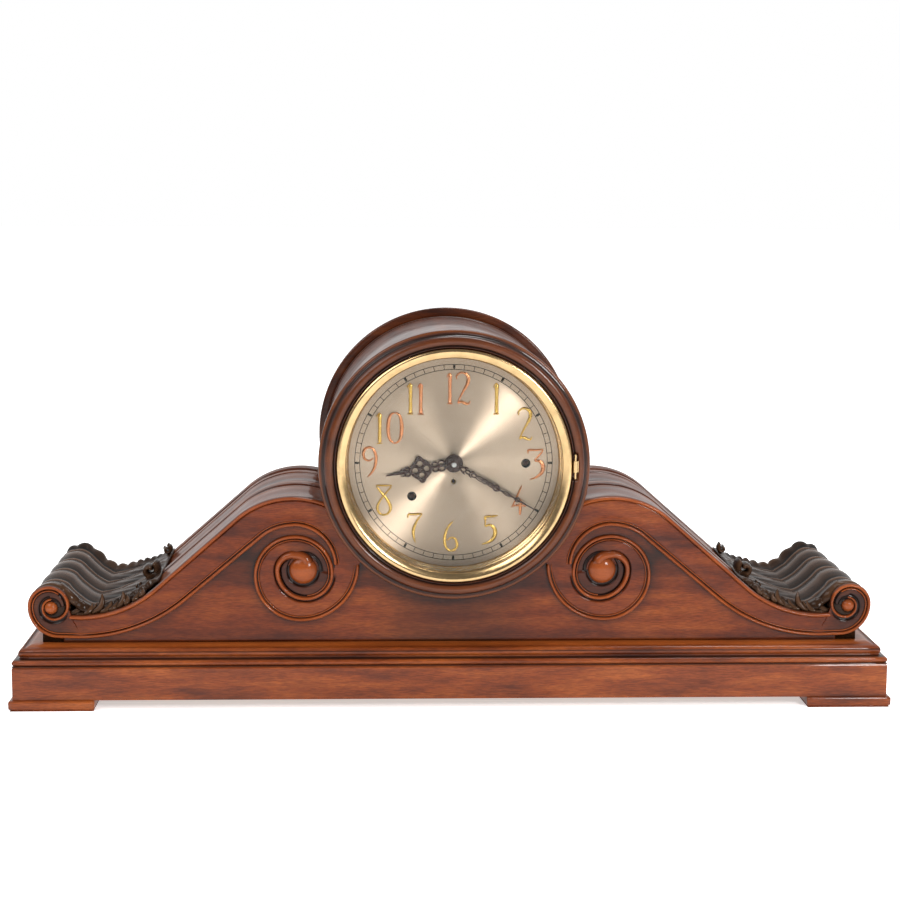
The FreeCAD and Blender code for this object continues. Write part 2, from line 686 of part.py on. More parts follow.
def make_bezel_ring():
    """Brass ring that holds the glass, with two hinge knuckles at three o'clock."""
    y = RING_FRONT
    radius = BEZEL_RADIUS
    rear = y + BEZEL_DEPTH
    seat = GLASS_RADIUS + PLAY
    section = [
        (radius - 5, rear - 4), (radius - 5, rear - 5.2), (radius - 3.2, y + 0.6), (radius - 1.6, y),
        (radius - 0.4, y + 0.4), (radius, y + 1.4), (radius, rear), (seat, rear), (seat, rear - 4),
    ]
    x, hinge_y = BEZEL_HINGE
    knuckles = both_ends(
        KNUCKLE_SPLIT + 0.2, KNUCKLE_END,
        lambda low, high: upright(KNUCKLE_RADIUS, x, hinge_y, low, high),
    )
    tabs = both_ends(
        KNUCKLE_SPLIT + 0.2, KNUCKLE_END,
        lambda low, high: block(
            radius - 1.6, x - 1.2, hinge_y + 0.2, hinge_y + KNUCKLE_RADIUS, AXIS_Z + low, AXIS_Z + high,
        ),
    )
    ring = fuse([lathe(section)] + knuckles + tabs)
    return ring.cut(upright(PIN_RADIUS + RUNNING_FIT, x, hinge_y, -HINGE_HALF - 1, HINGE_HALF + 1))


def make_bezel_glass():
    """Flat glass seated behind the bezel's lip."""
    front = RING_FRONT + BEZEL_DEPTH - 4
    return rod(GLASS_RADIUS, front, front + GLASS_WALL)


def make_bezel_retainer():
    """Thin ring pressed in behind the glass."""
    front = RING_FRONT + BEZEL_DEPTH - 4 + GLASS_WALL
    return tube(GLASS_RADIUS + PLAY, GLASS_RADIUS - GLASS_SEAT, front, front + 1.4)


def hinge_with_pin(x, y, plate):
    """Return a fixed leaf: middle knuckle, pin and plate."""
    knuckle = upright(KNUCKLE_RADIUS, x, y, -KNUCKLE_SPLIT + 0.2, KNUCKLE_SPLIT - 0.2)
    pin = upright(PIN_RADIUS, x, y, -KNUCKLE_END - 0.4, KNUCKLE_END + 0.4)
    return fuse([knuckle, pin, plate])


def make_bezel_hinge_leaf():
    """Leaf let into the drum's front ring, with the bezel's pin."""
    x, y = BEZEL_HINGE
    half = KNUCKLE_SPLIT - 0.2
    plate = block(x, BEZEL_BORE + 4.2, y + 0.4, RING_FRONT + 6.2, AXIS_Z - half, AXIS_Z + half)
    return hinge_with_pin(x, y, plate)


def make_door_hinge_fixed():
    """Leaf on the drum's rear flange, with the back door's pin."""
    x, y = DOOR_HINGE
    half = KNUCKLE_SPLIT - 0.2
    y0, y1 = DOOR_FACE, DOOR_FACE + HINGE_LEAF_WALL
    plate = block(x + 0.8, x + HINGE_LEAF_LENGTH, y0, y1, AXIS_Z - half, AXIS_Z + half)
    return hinge_with_pin(x, y, plate)


def make_door_hinge_leaf():
    """Leaf on the back door with the two outer knuckles."""
    x, y = DOOR_HINGE
    face = DOOR_FACE
    knuckles = both_ends(
        KNUCKLE_SPLIT + 0.2, KNUCKLE_END,
        lambda low, high: upright(KNUCKLE_RADIUS, x, y, low, high),
    )
    tabs = both_ends(
        KNUCKLE_SPLIT + 0.2, KNUCKLE_END,
        lambda low, high: block(
            x - HINGE_LEAF_LENGTH, x - 0.8, face, face + HINGE_LEAF_WALL, AXIS_Z + low, AXIS_Z + high,
        ),
    )
    plate = block(
        x - HINGE_LEAF_LENGTH, x - KNUCKLE_RADIUS - 1, face, face + HINGE_LEAF_WALL,
        AXIS_Z - KNUCKLE_END, AXIS_Z + KNUCKLE_END,
    )
    leaf = fuse(knuckles + tabs + [plate])
    return leaf.cut(upright(PIN_RADIUS + RUNNING_FIT, x, y, -HINGE_HALF - 1, HINGE_HALF + 1))


def make_back_door():
    """Round wooden door that closes the rear of the drum."""
    return rod(DRUM_BORE - DOOR_GAP, DOOR_FACE - DOOR_WALL, DOOR_FACE)


def make_door_knob():
    """Turned brass knob on the back door."""
    y = DOOR_FACE
    radius = DOOR_KNOB_RADIUS
    section = [
        (0, y), (radius * 0.8, y), (radius * 0.8, y + 1), (radius * 0.45, y + 2), (radius * 0.5, y + 3),
        (radius, y + 4.2), (radius, y + 5), (radius * 0.6, y + DOOR_KNOB_LENGTH), (0, y + DOOR_KNOB_LENGTH),
    ]
    return lathe(section, -DRUM_BORE * 0.8)


# ---- Wheels and pinions ---------------------------------------------------------------------

def polar(place, distance, bearing):
    """Return the point at a distance and bearing (radians, from +X to +Z) from a place."""
    return place[0] + distance * math.cos(bearing), place[1] + distance * math.sin(bearing)


def bearing_to(place, other):
    """Return the bearing from one place to another."""
    return math.atan2(other[1] - place[1], other[0] - place[0])


def gear(teeth, module, y0, y1, place, phase):
    """Return a toothed disc, with a tooth centred on the bearing phase."""
    radius = module * teeth / 2
    pitch = 2 * math.pi / teeth
    corners = [
        (radius - DEDENDUM * module, -ROOT_HALF_WIDTH), (radius + ADDENDUM * module, -TIP_HALF_WIDTH),
        (radius + ADDENDUM * module, TIP_HALF_WIDTH), (radius - DEDENDUM * module, ROOT_HALF_WIDTH),
    ]
    outline = []
    for tooth in range(teeth):
        middle = phase + tooth * pitch
        for distance, share in corners:
            x, z = polar(place, distance, middle + share * pitch * radius / distance)
            outline.append((x, AXIS_Z + z))
    return prism(outline, y0, y1)


def mesh_phase(teeth, phase, bearing, other_teeth):
    """Return the phase at which a second gear's gap faces the first gear's tooth."""
    share = (bearing - phase) * teeth / (2 * math.pi)
    return bearing + math.pi - (0.5 - share) * 2 * math.pi / other_teeth


CENTRE = (0.0, 0.0)
THIRD_BEARING = math.radians(58.2)
THIRD = polar(CENTRE, THIRD_MODULE * (CENTRE_TEETH + THIRD_LEAVES) / 2, THIRD_BEARING)
ESCAPE_DISTANCE = ESCAPE_MODULE * (THIRD_TEETH + ESCAPE_LEAVES) / 2
ESCAPE = (0.0, THIRD[1] + math.sqrt(ESCAPE_DISTANCE ** 2 - THIRD[0] ** 2))
PALLETS = (0.0, ESCAPE[1] + 1.4 * ESCAPE_RADIUS)
MINUTE = (0.0, MOTION_DISTANCE)
TIME = BARREL_PLACES["time"]
STRIKE = BARREL_PLACES["strike"]
PIN = polar(STRIKE, STRIKE_MODULE * (STRIKE_GREAT_TEETH + PIN_LEAVES) / 2, math.radians(234.3))
FLY = polar(PIN, FLY_MODULE * (PIN_TEETH + FLY_LEAVES) / 2, math.radians(146))
HAMMER = (HAMMER_X, -HAMMER_DROP)
GREAT_MODULE = 2 * math.hypot(*TIME) / (GREAT_TEETH + CENTRE_LEAVES)
MINUTE_MODULE = 2 * MOTION_DISTANCE / (CANNON_LEAVES + MINUTE_TEETH)
HOUR_MODULE = 2 * MOTION_DISTANCE / (MINUTE_LEAVES + HOUR_TEETH)

# Layers of the movement along Y, each a front face.
GREAT_LAYER = FRONT_PLATE_BACK + 2.0
BARREL_LAYER = GREAT_LAYER + GREAT_WHEEL_WALL
CENTRE_LAYER = BACK_PLATE_FRONT - 5.0
PIN_LAYER = BACK_PLATE_FRONT - 9.0
BARREL_END = PIN_LAYER - BARREL_GAP
THIRD_LAYER = BACK_PLATE_FRONT - 13.0
ESCAPE_LAYER = BACK_PLATE_FRONT - 21.0
FLY_LAYER = FRONT_PLATE_BACK + 9.0
CANNON_LAYER = BOARD_BACK - PLATE_WALL - 1.4
HOUR_LAYER = DIAL_BACK + 0.7
RATCHET_LAYER = BACK_PLATE_BACK + 2.0
CRUTCH_LAYER = BACK_PLATE_BACK + 1.5
PENDULUM_LAYER = BACK_PLATE_BACK + 9.0
HAMMER_LAYER = BACK_PLATE_BACK + 3.0


def arbor(place, radius=ARBOR_RADIUS, pivot=PIVOT_RADIUS):
    """Return a steel arbor between the plates with a thinner pivot at each end."""
    x, z = place[0], AXIS_Z + place[1]
    body = rod(radius, FRONT_PLATE_BACK + SIDE_PLAY, BACK_PLATE_FRONT - SIDE_PLAY, x, z)
    pivots = rod(pivot, BOARD_BACK + 0.3, BACK_PLATE_BACK - 0.3, x, z)
    return fuse([body, pivots])


def make_plate(y0, bores):
    """Return one movement plate, drilled (place, radius)."""
    y1 = y0 + PLATE_WALL
    low, high = AXIS_Z - PLATE_HALF_HEIGHT, AXIS_Z + PLATE_HALF_HEIGHT
    plate = block(-PLATE_LEFT, PLATE_RIGHT, y0, y1, low, high)
    drills = [
        rod(radius + RUNNING_FIT, y0 - 1, y1 + 1, x, AXIS_Z + z) for (x, z), radius in bores
    ]
    return plate.cut(drills)


PIVOT_BORES = [(place, PIVOT_RADIUS) for place in (THIRD, ESCAPE, PALLETS, PIN, FLY)]
WINDING_BORES = [(place, WINDING_ARBOR_RADIUS) for place in (TIME, STRIKE)]


def make_movement_front_plate():
    """Front plate with the minute wheel's stud."""
    bores = PIVOT_BORES + WINDING_BORES
    bores += [(CENTRE, CANNON_RADIUS), ((0, -REGULATOR_DROP), REGULATOR_RADIUS)]
    plate = make_plate(BOARD_BACK, bores)
    stud = rod(CLICK_PIN_RADIUS, HOUR_LAYER + 0.4, BOARD_BACK + 1, MINUTE[0], AXIS_Z + MINUTE[1])
    return fuse([plate, stud])


def make_movement_back_plate():
    """Back plate with studs for the two clicks and the hammer."""
    bores = [bore for bore in PIVOT_BORES if bore[0] is not PALLETS]
    bores += WINDING_BORES + [(CENTRE, PIVOT_RADIUS), (PALLETS, ARBOR_RADIUS)]
    plate = make_plate(BACK_PLATE_FRONT, bores)
    studs = []
    for place in (TIME, STRIKE):
        x, z = click_place(place)
        tip = RATCHET_LAYER + RATCHET_WALL + 0.6
        studs.append(rod(CLICK_PIN_RADIUS, BACK_PLATE_BACK - 1, tip, x, AXIS_Z + z))
    x, z = HAMMER
    studs.append(rod(CLICK_PIN_RADIUS, BACK_PLATE_BACK - 1, HAMMER_LAYER + HAMMER_ARM + 0.6, x, AXIS_Z + z))
    return fuse([plate] + studs)


def pillar_places():
    """Return the four pillar places, clear of the great wheels."""
    left = PILLAR_INSET - PLATE_LEFT
    right = PLATE_RIGHT - PILLAR_INSET
    high = PLATE_HALF_HEIGHT - PILLAR_INSET
    return [(left, high), (right, high), (right, -high), (2.0, PILLAR_RADIUS + 1 - PLATE_HALF_HEIGHT)]


def make_plate_pillars():
    """Turned pillars that space the plates."""
    pillars = []
    for x, z in pillar_places():
        waist = PILLAR_RADIUS * 0.7
        y0, y1 = FRONT_PLATE_BACK, BACK_PLATE_FRONT
        section = [
            (0, y0), (PILLAR_RADIUS, y0), (PILLAR_RADIUS, y0 + 4), (waist, y0 + 6),
            (waist, y1 - 6), (PILLAR_RADIUS, y1 - 4), (PILLAR_RADIUS, y1), (0, y1),
        ]
        pillars.append(lathe(section, x, AXIS_Z + z))
    return group(pillars)


def make_plate_nuts():
    """Round-topped nuts behind the back plate, one on each pillar."""
    nuts = []
    y0, y1 = BACK_PLATE_BACK, BACK_PLATE_BACK + 3.5
    for x, z in pillar_places():
        corners = [polar((x, z), PILLAR_RADIUS, math.radians(60 * side)) for side in range(6)]
        nuts.append(prism([(px, AXIS_Z + pz) for px, pz in corners], y0, y1))
    return group(nuts)


def make_time_barrel():
    """Great wheel and mainspring barrel of the time side, free on its arbor."""
    phase = mesh_phase(CENTRE_LEAVES, 0, bearing_to(CENTRE, TIME), GREAT_TEETH)
    return barrel(TIME, GREAT_TEETH, GREAT_MODULE, phase)


def make_strike_barrel():
    """Great wheel and mainspring barrel of the strike side, free on its arbor."""
    return barrel(STRIKE, STRIKE_GREAT_TEETH, STRIKE_MODULE, 0)


def barrel(place, teeth, module, phase):
    """Return a great wheel joined to its spring barrel."""
    x, z = place[0], AXIS_Z + place[1]
    wheel = gear(teeth, module, GREAT_LAYER, BARREL_LAYER, place, phase)
    drum = rod(BARREL_RADIUS, BARREL_LAYER, BARREL_END, x, z)
    cap = rod(BARREL_RADIUS + 1, BARREL_END - 1.5, BARREL_END, x, z)
    bore = rod(WINDING_ARBOR_RADIUS + RUNNING_FIT, GREAT_LAYER - 1, BARREL_END + 1, x, z)
    return fuse([wheel, drum, cap]).cut(bore)


def winding_arbor(place):
    """Return a winding arbor: square in front, ratchet wheel behind the back plate."""
    x, z = place[0], AXIS_Z + place[1]
    half = WINDING_SQUARE / 2
    square = block(x - half, x + half, DIAL_BACK + 0.5, BOARD_BACK, z - half, z + half)
    body = rod(WINDING_ARBOR_RADIUS, BOARD_BACK - 0.5, RATCHET_LAYER + RATCHET_WALL + 1.5, x, z)
    outline = []
    for tooth in range(RATCHET_TEETH):
        turn = 2 * math.pi * tooth / RATCHET_TEETH
        for distance, share in ((RATCHET_RADIUS - 1.4, 0.05), (RATCHET_RADIUS, 0.9)):
            px, pz = polar(place, distance, turn + share * 2 * math.pi / RATCHET_TEETH)
            outline.append((px, AXIS_Z + pz))
    ratchet = prism(outline, RATCHET_LAYER, RATCHET_LAYER + RATCHET_WALL)
    return fuse([square, body, ratchet])


def click_place(place):
    """Return where a click pivots, above its ratchet wheel."""
    return polar(place, CLICK_REACH, math.radians(120))


def click(place):
    """Return a click whose nose rests just clear of the ratchet's teeth."""
    pivot = click_place(place)
    nose = polar(place, RATCHET_RADIUS + 0.4, math.radians(60))
    back = polar(place, RATCHET_RADIUS + 3.4, math.radians(66))
    side = bearing_to(pivot, nose)
    heel = polar(pivot, CLICK_RADIUS, side + math.pi / 2)
    toe = polar(pivot, CLICK_RADIUS * 0.5, side - math.pi / 2)
    outline = [(px, AXIS_Z + pz) for px, pz in (toe, nose, back, heel)]
    y0, y1 = RATCHET_LAYER, RATCHET_LAYER + RATCHET_WALL
    ratchet = rod(RATCHET_RADIUS + 0.3, y0 - 1, y1 + 1, place[0], AXIS_Z + place[1])
    lever = prism(outline, y0, y1).cut(ratchet)
    boss = rod(CLICK_RADIUS, y0, y1, pivot[0], AXIS_Z + pivot[1])
    bore = rod(CLICK_PIN_RADIUS + RUNNING_FIT, y0 - 1, y1 + 1, pivot[0], AXIS_Z + pivot[1])
    return fuse([lever, boss]).cut(bore)


def make_centre_arbor():
    """Arbor with the centre pinion, the cannon pinion and the seat of the minute hand."""
    pinion = gear(CENTRE_LEAVES, GREAT_MODULE, GREAT_LAYER - 0.6, BARREL_LAYER + 0.6, CENTRE, 0)
    front = DIAL_FRONT - MINUTE_HAND_GAP - HAND_WALL - ARBOR_TIP
    cannon = rod(CANNON_RADIUS, front + ARBOR_TIP - HAND_NUT_DEPTH, FRONT_PLATE_BACK + SIDE_PLAY)
    tip = rod(ARBOR_RADIUS, front, front + ARBOR_TIP)
    y0, y1 = CANNON_LAYER - 0.5, CANNON_LAYER + WHEEL_WALL + 0.3
    leaves = gear(CANNON_LEAVES, MINUTE_MODULE, y0, y1, CENTRE, 0)
    body = rod(CANNON_RADIUS, FRONT_PLATE_BACK, BACK_PLATE_FRONT - SIDE_PLAY)
    pivot = rod(PIVOT_RADIUS, BACK_PLATE_FRONT - 1, BACK_PLATE_BACK - 0.3)
    return fuse([pinion, cannon, tip, leaves, body, pivot])


CENTRE_WHEEL_PHASE = 0.0
THIRD_PHASE = mesh_phase(CENTRE_TEETH, CENTRE_WHEEL_PHASE, THIRD_BEARING, THIRD_LEAVES)
ESCAPE_PHASE = mesh_phase(THIRD_TEETH, 0, bearing_to(THIRD, ESCAPE), ESCAPE_LEAVES)
MINUTE_PHASE = mesh_phase(CANNON_LEAVES, 0, bearing_to(CENTRE, MINUTE), MINUTE_TEETH)
HOUR_PHASE = mesh_phase(MINUTE_LEAVES, 0, bearing_to(MINUTE, CENTRE), HOUR_TEETH)
PIN_PHASE = mesh_phase(STRIKE_GREAT_TEETH, 0, bearing_to(STRIKE, PIN), PIN_LEAVES)
FLY_PHASE = mesh_phase(PIN_TEETH, 0, bearing_to(PIN, FLY), FLY_LEAVES)


def crossed_wheel(teeth, module, y0, place, phase, hub):
    """Return a thin wheel crossed out to four spokes, bored for its arbor."""
    wheel = gear(teeth, module, y0, y0 + WHEEL_WALL, place, phase)
    x, z = place[0], AXIS_Z + place[1]
    rim = module * (teeth / 2 - DEDENDUM) - 2.2
    cutter = tube(rim, hub + 2.6, y0 - 1, y0 + WHEEL_WALL + 1, x, z)
    spoke = 1.2
    bars = [
        block(x - rim, x + rim, y0 - 2, y0 + WHEEL_WALL + 2, z - spoke, z + spoke),
        block(x - spoke, x + spoke, y0 - 2, y0 + WHEEL_WALL + 2, z - rim, z + rim),
    ]
    wheel = wheel.cut(cutter.cut(bars))
    return wheel.cut(rod(hub, y0 - 1, y0 + WHEEL_WALL + 1, x, z))


def make_centre_wheel():
    """Centre wheel fixed on the centre arbor."""
    return crossed_wheel(
        CENTRE_TEETH, THIRD_MODULE, CENTRE_LAYER, CENTRE, CENTRE_WHEEL_PHASE, CANNON_RADIUS,
    )


def make_third_wheel():
    """Third wheel with its arbor and pinion."""
    wheel = crossed_wheel(THIRD_TEETH, ESCAPE_MODULE, THIRD_LAYER, THIRD, 0, ARBOR_RADIUS)
    y0 = CENTRE_LAYER - 1
    pinion = gear(THIRD_LEAVES, THIRD_MODULE, y0, y0 + PINION_LENGTH, THIRD, THIRD_PHASE)
    return fuse([wheel, arbor(THIRD), pinion])


def make_escape_wheel():
    """Escape wheel with pointed teeth, its arbor and pinion."""
    outline = []
    for tooth in range(ESCAPE_TEETH):
        turn = 2 * math.pi * tooth / ESCAPE_TEETH
        root = ESCAPE_RADIUS - ESCAPE_TOOTH
        for distance, share in ((root, 0.0), (ESCAPE_RADIUS, 0.42), (root, 0.5)):
            x, z = polar(ESCAPE, distance, turn + share * 2 * math.pi / ESCAPE_TEETH)
            outline.append((x, AXIS_Z + z))
    wheel = prism(outline, ESCAPE_LAYER, ESCAPE_LAYER + WHEEL_WALL)
    pinion = gear(
        ESCAPE_LEAVES, ESCAPE_MODULE, THIRD_LAYER - 1, THIRD_LAYER - 1 + PINION_LENGTH,
        ESCAPE, ESCAPE_PHASE,
    )
    return fuse([wheel, arbor(ESCAPE), pinion])


def make_pallets():
    """Anchor, its arbor and the crutch whose pin drives the pendulum."""
    x, z = PALLETS[0], AXIS_Z + PALLETS[1]
    y0, y1 = ESCAPE_LAYER, ESCAPE_LAYER + WHEEL_WALL
    centre_z = AXIS_Z + ESCAPE[1]
    band = tube(ESCAPE_RADIUS + 3.0, ESCAPE_RADIUS + 1.3, y0, y1, 0, centre_z)
    reach = ESCAPE_RADIUS * 2
    wedge = prism([(0, centre_z), (reach, centre_z + reach), (-reach, centre_z + reach)], y0, y1)
    band = band.common(wedge)
    hub = rod(2.4, y0, y1, x, z)
    shaft = fuse([
        rod(ARBOR_RADIUS, FRONT_PLATE_BACK + SIDE_PLAY, CRUTCH_LAYER + 1.2, x, z),
        rod(PIVOT_RADIUS, BOARD_BACK + 0.3, FRONT_PLATE_BACK + 1, x, z),
    ])
    stem = block(x - 1.5, x + 1.5, CRUTCH_LAYER, CRUTCH_LAYER + 1.2, AXIS_Z + 12, z)
    pin = rod(0.9, CRUTCH_LAYER, PENDULUM_LAYER + 2, x, AXIS_Z + 14)
    return fuse([band, hub, shaft, stem, pin])


def make_suspension_cock():
    """Bracket on the back plate that holds the pendulum's suspension spring."""
    top = AXIS_Z + PLATE_HALF_HEIGHT
    bottom = AXIS_Z + PALLETS[1] + 4
    foot = block(-7, 7, BACK_PLATE_BACK, PENDULUM_LAYER + PENDULUM_WALL + 2, bottom, top)
    middle = PENDULUM_LAYER + PENDULUM_WALL / 2
    spring = block(-2, 2, middle - 0.15, middle + 0.15, AXIS_Z + PALLETS[1] + 0.6, bottom)
    return fuse([foot, spring])


def make_pendulum_rod():
    """Flat rod with a slot for the crutch's pin and a rating nut below."""
    half = PENDULUM_WIDTH / 2
    top = AXIS_Z + PALLETS[1]
    bottom = top - PENDULUM_LENGTH - BOB_RADIUS - 6
    y0, y1 = PENDULUM_LAYER, PENDULUM_LAYER + PENDULUM_WALL
    bar = block(-half, half, y0, y1, bottom, top)
    eye = rod(PENDULUM_WIDTH, y0, y1, 0, AXIS_Z + 14)
    nut = Part.makeCylinder(3.0, 2.5, vec(0, (y0 + y1) / 2, bottom + 1.5))
    return fuse([bar, eye, nut]).cut(rod(0.9 + 0.2, y0 - 1, y1 + 1, 0, AXIS_Z + 14))


def make_pendulum_bob():
    """Lens-shaped bob that slides on the rod."""
    middle = PENDULUM_LAYER + PENDULUM_WALL / 2
    half = BOB_WALL / 2
    radius = BOB_RADIUS
    section = [
        (0, middle - half), (radius * 0.5, middle - half * 0.85), (radius * 0.85, middle - half * 0.45),
        (radius, middle - 0.5), (radius, middle + 0.5), (radius * 0.85, middle + half * 0.45),
        (radius * 0.5, middle + half * 0.85), (0, middle + half),
    ]
    bob = lathe(section, 0, AXIS_Z + PALLETS[1] - PENDULUM_LENGTH)
    return bob.cut(make_pendulum_rod())


def make_minute_wheel():
    """Wheel and pinion between the cannon pinion and the hour wheel."""
    x, z = MINUTE[0], AXIS_Z + MINUTE[1]
    wheel = gear(MINUTE_TEETH, MINUTE_MODULE, CANNON_LAYER, CANNON_LAYER + WHEEL_WALL, MINUTE, MINUTE_PHASE)
    pinion = gear(MINUTE_LEAVES, HOUR_MODULE, HOUR_LAYER, CANNON_LAYER, MINUTE, 0)
    bore = rod(CLICK_PIN_RADIUS + RUNNING_FIT, HOUR_LAYER - 1, CANNON_LAYER + WHEEL_WALL + 1, x, z)
    return fuse([wheel, pinion]).cut(bore)


def make_hour_wheel():
    """Hour wheel and the pipe that carries the hour hand."""
    wheel = gear(HOUR_TEETH, HOUR_MODULE, HOUR_LAYER, HOUR_LAYER + WHEEL_WALL, CENTRE, HOUR_PHASE)
    pipe = rod(HOUR_PIPE_RADIUS, DIAL_FRONT - HOUR_HAND_GAP - 0.4, HOUR_LAYER + WHEEL_WALL)
    bore = rod(CANNON_RADIUS + RUNNING_FIT, DIAL_FRONT - HOUR_HAND_GAP - 2, HOUR_LAYER + WHEEL_WALL + 1)
    return fuse([wheel, pipe]).cut(bore)


def hand(length, turn, y0, bore, hub):
    """Return a flat hand that points turn degrees clockwise from twelve."""
    bearing = math.radians(90 - turn)
    outline = []
    shape = ((0.0, hub * 0.6), (0.3, 1.6), (0.52, 2.4), (0.62, 6.5), (0.76, 2.4), (0.86, 2.6), (1.0, 0.4))
    for share, half in shape:
        x, z = polar(polar(CENTRE, share * length, bearing), half, bearing + math.pi / 2)
        outline.append((x, AXIS_Z + z))
    for share, half in reversed(shape):
        x, z = polar(polar(CENTRE, share * length, bearing), half, bearing - math.pi / 2)
        outline.append((x, AXIS_Z + z))
    blade = prism(outline, y0, y0 + HAND_WALL)
    whole = fuse([blade, rod(hub, y0, y0 + HAND_WALL)])
    return whole.cut(rod(bore, y0 - 1, y0 + HAND_WALL + 1))


def make_minute_hand():
    """Long pierced hand on the cannon's end."""
    y = DIAL_FRONT - MINUTE_HAND_GAP - HAND_WALL
    return hand(MINUTE_HAND_LENGTH, MINUTE_HAND_TURN, y, CANNON_RADIUS, MINUTE_HAND_BOSS)


def make_hour_hand():
    """Short pierced hand on the hour pipe."""
    layer = DIAL_FRONT - HOUR_HAND_GAP
    return hand(HOUR_HAND_LENGTH, HOUR_HAND_TURN, layer, HOUR_PIPE_RADIUS, HOUR_HAND_BOSS)


def make_hand_nut():
    """Round nut that holds the minute hand."""
    front = DIAL_FRONT - MINUTE_HAND_GAP - HAND_WALL - HAND_NUT_DEPTH
    return tube(HAND_NUT_RADIUS, CANNON_RADIUS, front, front + HAND_NUT_DEPTH)


def make_pin_wheel():
    """Strike wheel whose pins lift the hammer, with its arbor and pinion."""
    wheel = crossed_wheel(PIN_TEETH, FLY_MODULE, PIN_LAYER, PIN, 0, ARBOR_RADIUS)
    pinion = gear(PIN_LEAVES, STRIKE_MODULE, GREAT_LAYER - 0.6, BARREL_LAYER + 0.6, PIN, PIN_PHASE)
    pins = []
    for number in range(8):
        x, z = polar(PIN, FLY_MODULE * PIN_TEETH / 2 - 1.7, math.radians(45 * number))
        pins.append(rod(0.6, PIN_LAYER, PIN_LAYER + WHEEL_WALL + 2, x, AXIS_Z + z))
    return fuse([wheel, arbor(PIN), pinion] + pins)


def make_fly():
    """Two-vane air brake with its arbor and pinion."""
    x, z = FLY[0], AXIS_Z + FLY[1]
    pinion = gear(FLY_LEAVES, FLY_MODULE, PIN_LAYER - 1, PIN_LAYER - 1 + PINION_LENGTH, FLY, FLY_PHASE)
    vane = block(x - 9, x + 9, FLY_LAYER, FLY_LAYER + 10, z - 0.4, z + 0.4)
    return fuse([arbor(FLY), pinion, vane])


def make_regulator_arbor():
    """Small square-ended arbor below the dial's centre."""
    z = AXIS_Z - REGULATOR_DROP
    half = REGULATOR_RADIUS * 0.7
    square = block(-half, half, DIAL_FRONT - 0.8, DIAL_BACK + 1, z - half, z + half)
    body = rod(REGULATOR_RADIUS, DIAL_BACK + 0.5, FRONT_PLATE_BACK + 1.0, 0, z)
    collar = rod(REGULATOR_RADIUS + 1, FRONT_PLATE_BACK + 0.1, FRONT_PLATE_BACK + 1.1, 0, z)
    return fuse([square, body, collar])


# ---- Strike: gong and hammer ------------------------------------------------------------------

GONG_Z = MOULDING_TOP + GONG_ROD_RISE
GONG_ROD_Y = (HAMMER_LAYER + HAMMER_ARM / 2, HAMMER_LAYER + HAMMER_ARM / 2 + GONG_ROD_PITCH)


def make_gong_base():
    """Cast foot on the case's floor, drilled for the gong rods."""
    y = sum(GONG_ROD_Y) / 2
    base = block(
        GONG_BASE_LEFT, GONG_BASE_LEFT + GONG_BASE_LENGTH, y - GONG_BASE_WIDTH / 2, y + GONG_BASE_WIDTH / 2,
        PLINTH_TOP, GONG_Z + 7,
    )
    return base.cut(make_gong_rods())


def make_gong_rods():
    """Two steel rods that the hammer strikes."""
    left = GONG_BASE_LEFT + GONG_BASE_LENGTH - 12
    bars = [
        Part.makeCylinder(GONG_ROD_RADIUS, GONG_ROD_LENGTH, vec(left, y, GONG_Z), vec(1, 0, 0))
        for y in GONG_ROD_Y
    ]
    return group(bars)


def make_strike_hammer():
    """Sprung arm from the back plate with two heads, one over each rod."""
    x, z = HAMMER[0], AXIS_Z + HAMMER[1]
    head_z = GONG_Z + GONG_ROD_RADIUS + HAMMER_REST_GAP + HAMMER_HEAD
    head_x = 0.0
    run = math.hypot(x - head_x, z - head_z)
    side = ((z - head_z) / run * HAMMER_ARM / 2, -(x - head_x) / run * HAMMER_ARM / 2)
    outline = [
        (x + side[0], z + side[1]), (head_x + side[0], head_z + side[1]),
        (head_x - side[0], head_z - side[1]), (x - side[0], z - side[1]),
    ]
    y0, y1 = HAMMER_LAYER, HAMMER_LAYER + HAMMER_ARM
    arm = prism(outline, y0, y1)
    boss = rod(HAMMER_BOSS, y0, y1, x, z)
    head = rod(HAMMER_HEAD, y0 - 2, y1 + GONG_ROD_PITCH + 2, head_x, head_z)
    bore = rod(CLICK_PIN_RADIUS + RUNNING_FIT, y0 - 1, y1 + 1, x, z)
    return fuse([arm, boss, head]).cut(bore)


